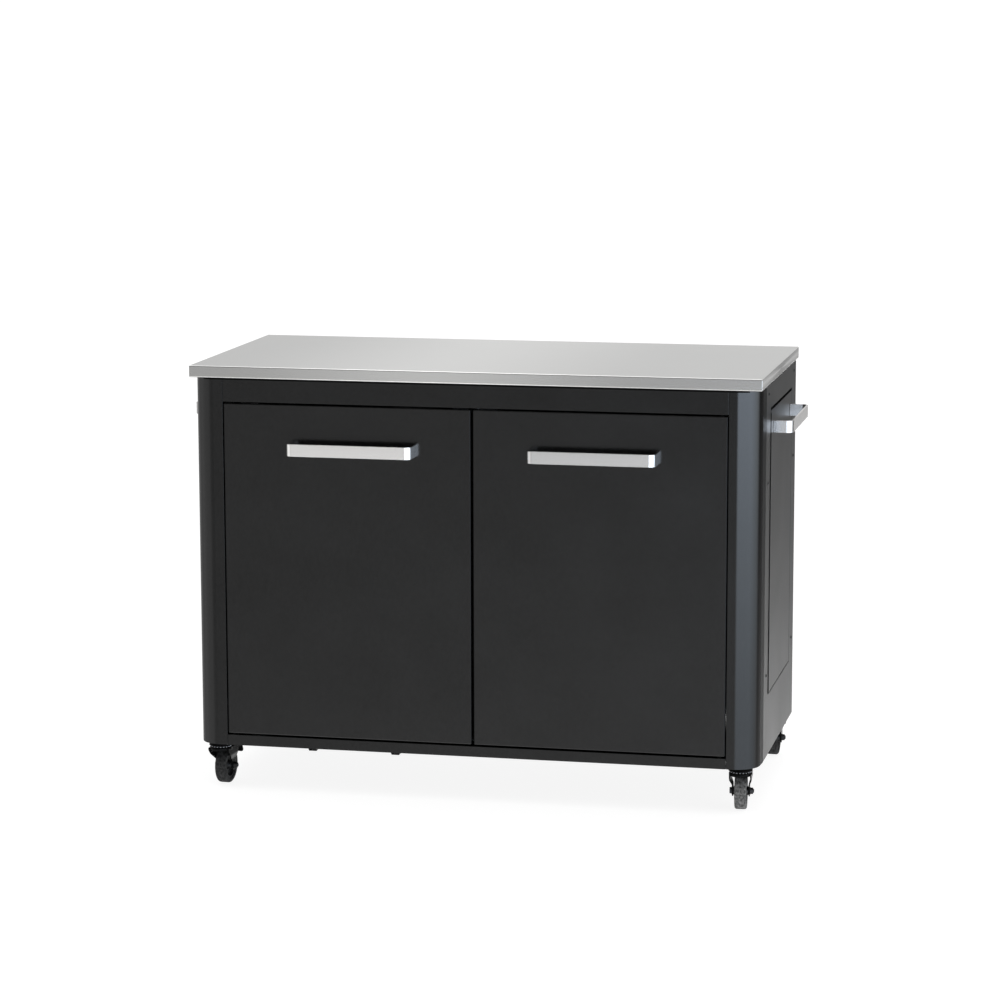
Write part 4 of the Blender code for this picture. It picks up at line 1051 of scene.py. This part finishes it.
def build_world():
    """A soft studio of light rings, brightest at the right front; the camera sees white."""
    world = bpy.data.worlds.new("studio")
    SCENE.world = world
    tree = tree_of(world)
    ray = add(tree, "ShaderNodeTexCoord").outputs["Generated"]
    parts = add(tree, "ShaderNodeSeparateXYZ", {}, {0: ray}).outputs
    heading = maths(tree, "ARCTAN2", parts[0], maths(tree, "MULTIPLY", parts[1], -1.0))
    share = gathered(tree, heading, -math.pi, math.pi)
    sky = BELOW
    for low, high, stops in RINGS:
        sky = add(tree, "ShaderNodeMix", {"data_type": "RGBA"}, {
            "Factor": gathered(tree, parts[2], low, high),
            "A": sky,
            "B": heading_ramp(tree, share, stops),
        }).outputs["Result"]
    lit = add(tree, "ShaderNodeBackground", {}, {"Color": sky, "Strength": 1.0})
    seen = add(tree, "ShaderNodeBackground", {}, {"Color": (1.0, 1.0, 1.0, 1.0), "Strength": 1.0})
    path = add(tree, "ShaderNodeLightPath").outputs["Is Camera Ray"]
    mixed = add(tree, "ShaderNodeMixShader", {}, {0: path, 1: lit.outputs[0], 2: seen.outputs[0]})
    add(tree, "ShaderNodeOutputWorld", {}, {"Surface": mixed.outputs[0]})


def build_floor():
    """A wide plain white floor that glows a little, so that its shadows stay pale."""
    bm = bmesh.new()
    bmesh.ops.create_circle(bm, cap_ends=True, segments=64, radius=FLOOR_RADIUS)
    mesh = to_mesh("floor", bm)
    paint = bpy.data.materials.new("white_floor")
    tree = tree_of(paint)
    shader = add(tree, "ShaderNodeBsdfPrincipled", {}, {
        "Base Color": (*grey(FLOOR_GREY), 1.0), "Roughness": 0.8, "Specular IOR Level": 0.1,
        "Emission Color": (1.0, 1.0, 1.0, 1.0), "Emission Strength": FLOOR_GLOW,
    })
    add(tree, "ShaderNodeOutputMaterial", {}, {"Surface": shader.outputs[0]})
    mesh.materials.append(paint)
    floor = bpy.data.objects.new("floor", mesh)
    SCENE.collection.objects.link(floor)
    floor.visible_glossy = False


def build_camera():
    """The camera looks along its yaw and pitch and is rolled about that line."""
    lens = bpy.data.cameras.new("camera")
    lens.lens = CAMERA_LENS
    lens.sensor_width = CAMERA_SENSOR
    lens.sensor_fit = "HORIZONTAL"
    lens.clip_start, lens.clip_end = CAMERA_CLIP
    camera = bpy.data.objects.new("camera", lens)
    SCENE.collection.objects.link(camera)
    ahead = math.cos(CAMERA_PITCH)
    aim = Vector((
        math.sin(CAMERA_YAW) * ahead, math.cos(CAMERA_YAW) * ahead, math.sin(CAMERA_PITCH),
    ))
    level = Vector((math.cos(CAMERA_YAW), -math.sin(CAMERA_YAW), 0.0))
    rise = level.cross(aim)
    right = math.cos(CAMERA_ROLL) * level + math.sin(CAMERA_ROLL) * rise
    up = -math.sin(CAMERA_ROLL) * level + math.cos(CAMERA_ROLL) * rise
    turn = Matrix((right, up, -aim)).transposed().to_4x4()
    edge = Vector((0.0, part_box("worktop_skin")[0].y, 0.0))
    camera.matrix_world = Matrix.Translation(edge + Vector(CAMERA_PLACE)) @ turn
    SCENE.camera = camera


SCENE.view_settings.view_transform = "Standard"
build_camera()
build_world()
build_floor()
build_worktop()
build_front_posts()
build_shadow_strips()
build_handles()
dress_cabinet()
build_casters()
build_screws()
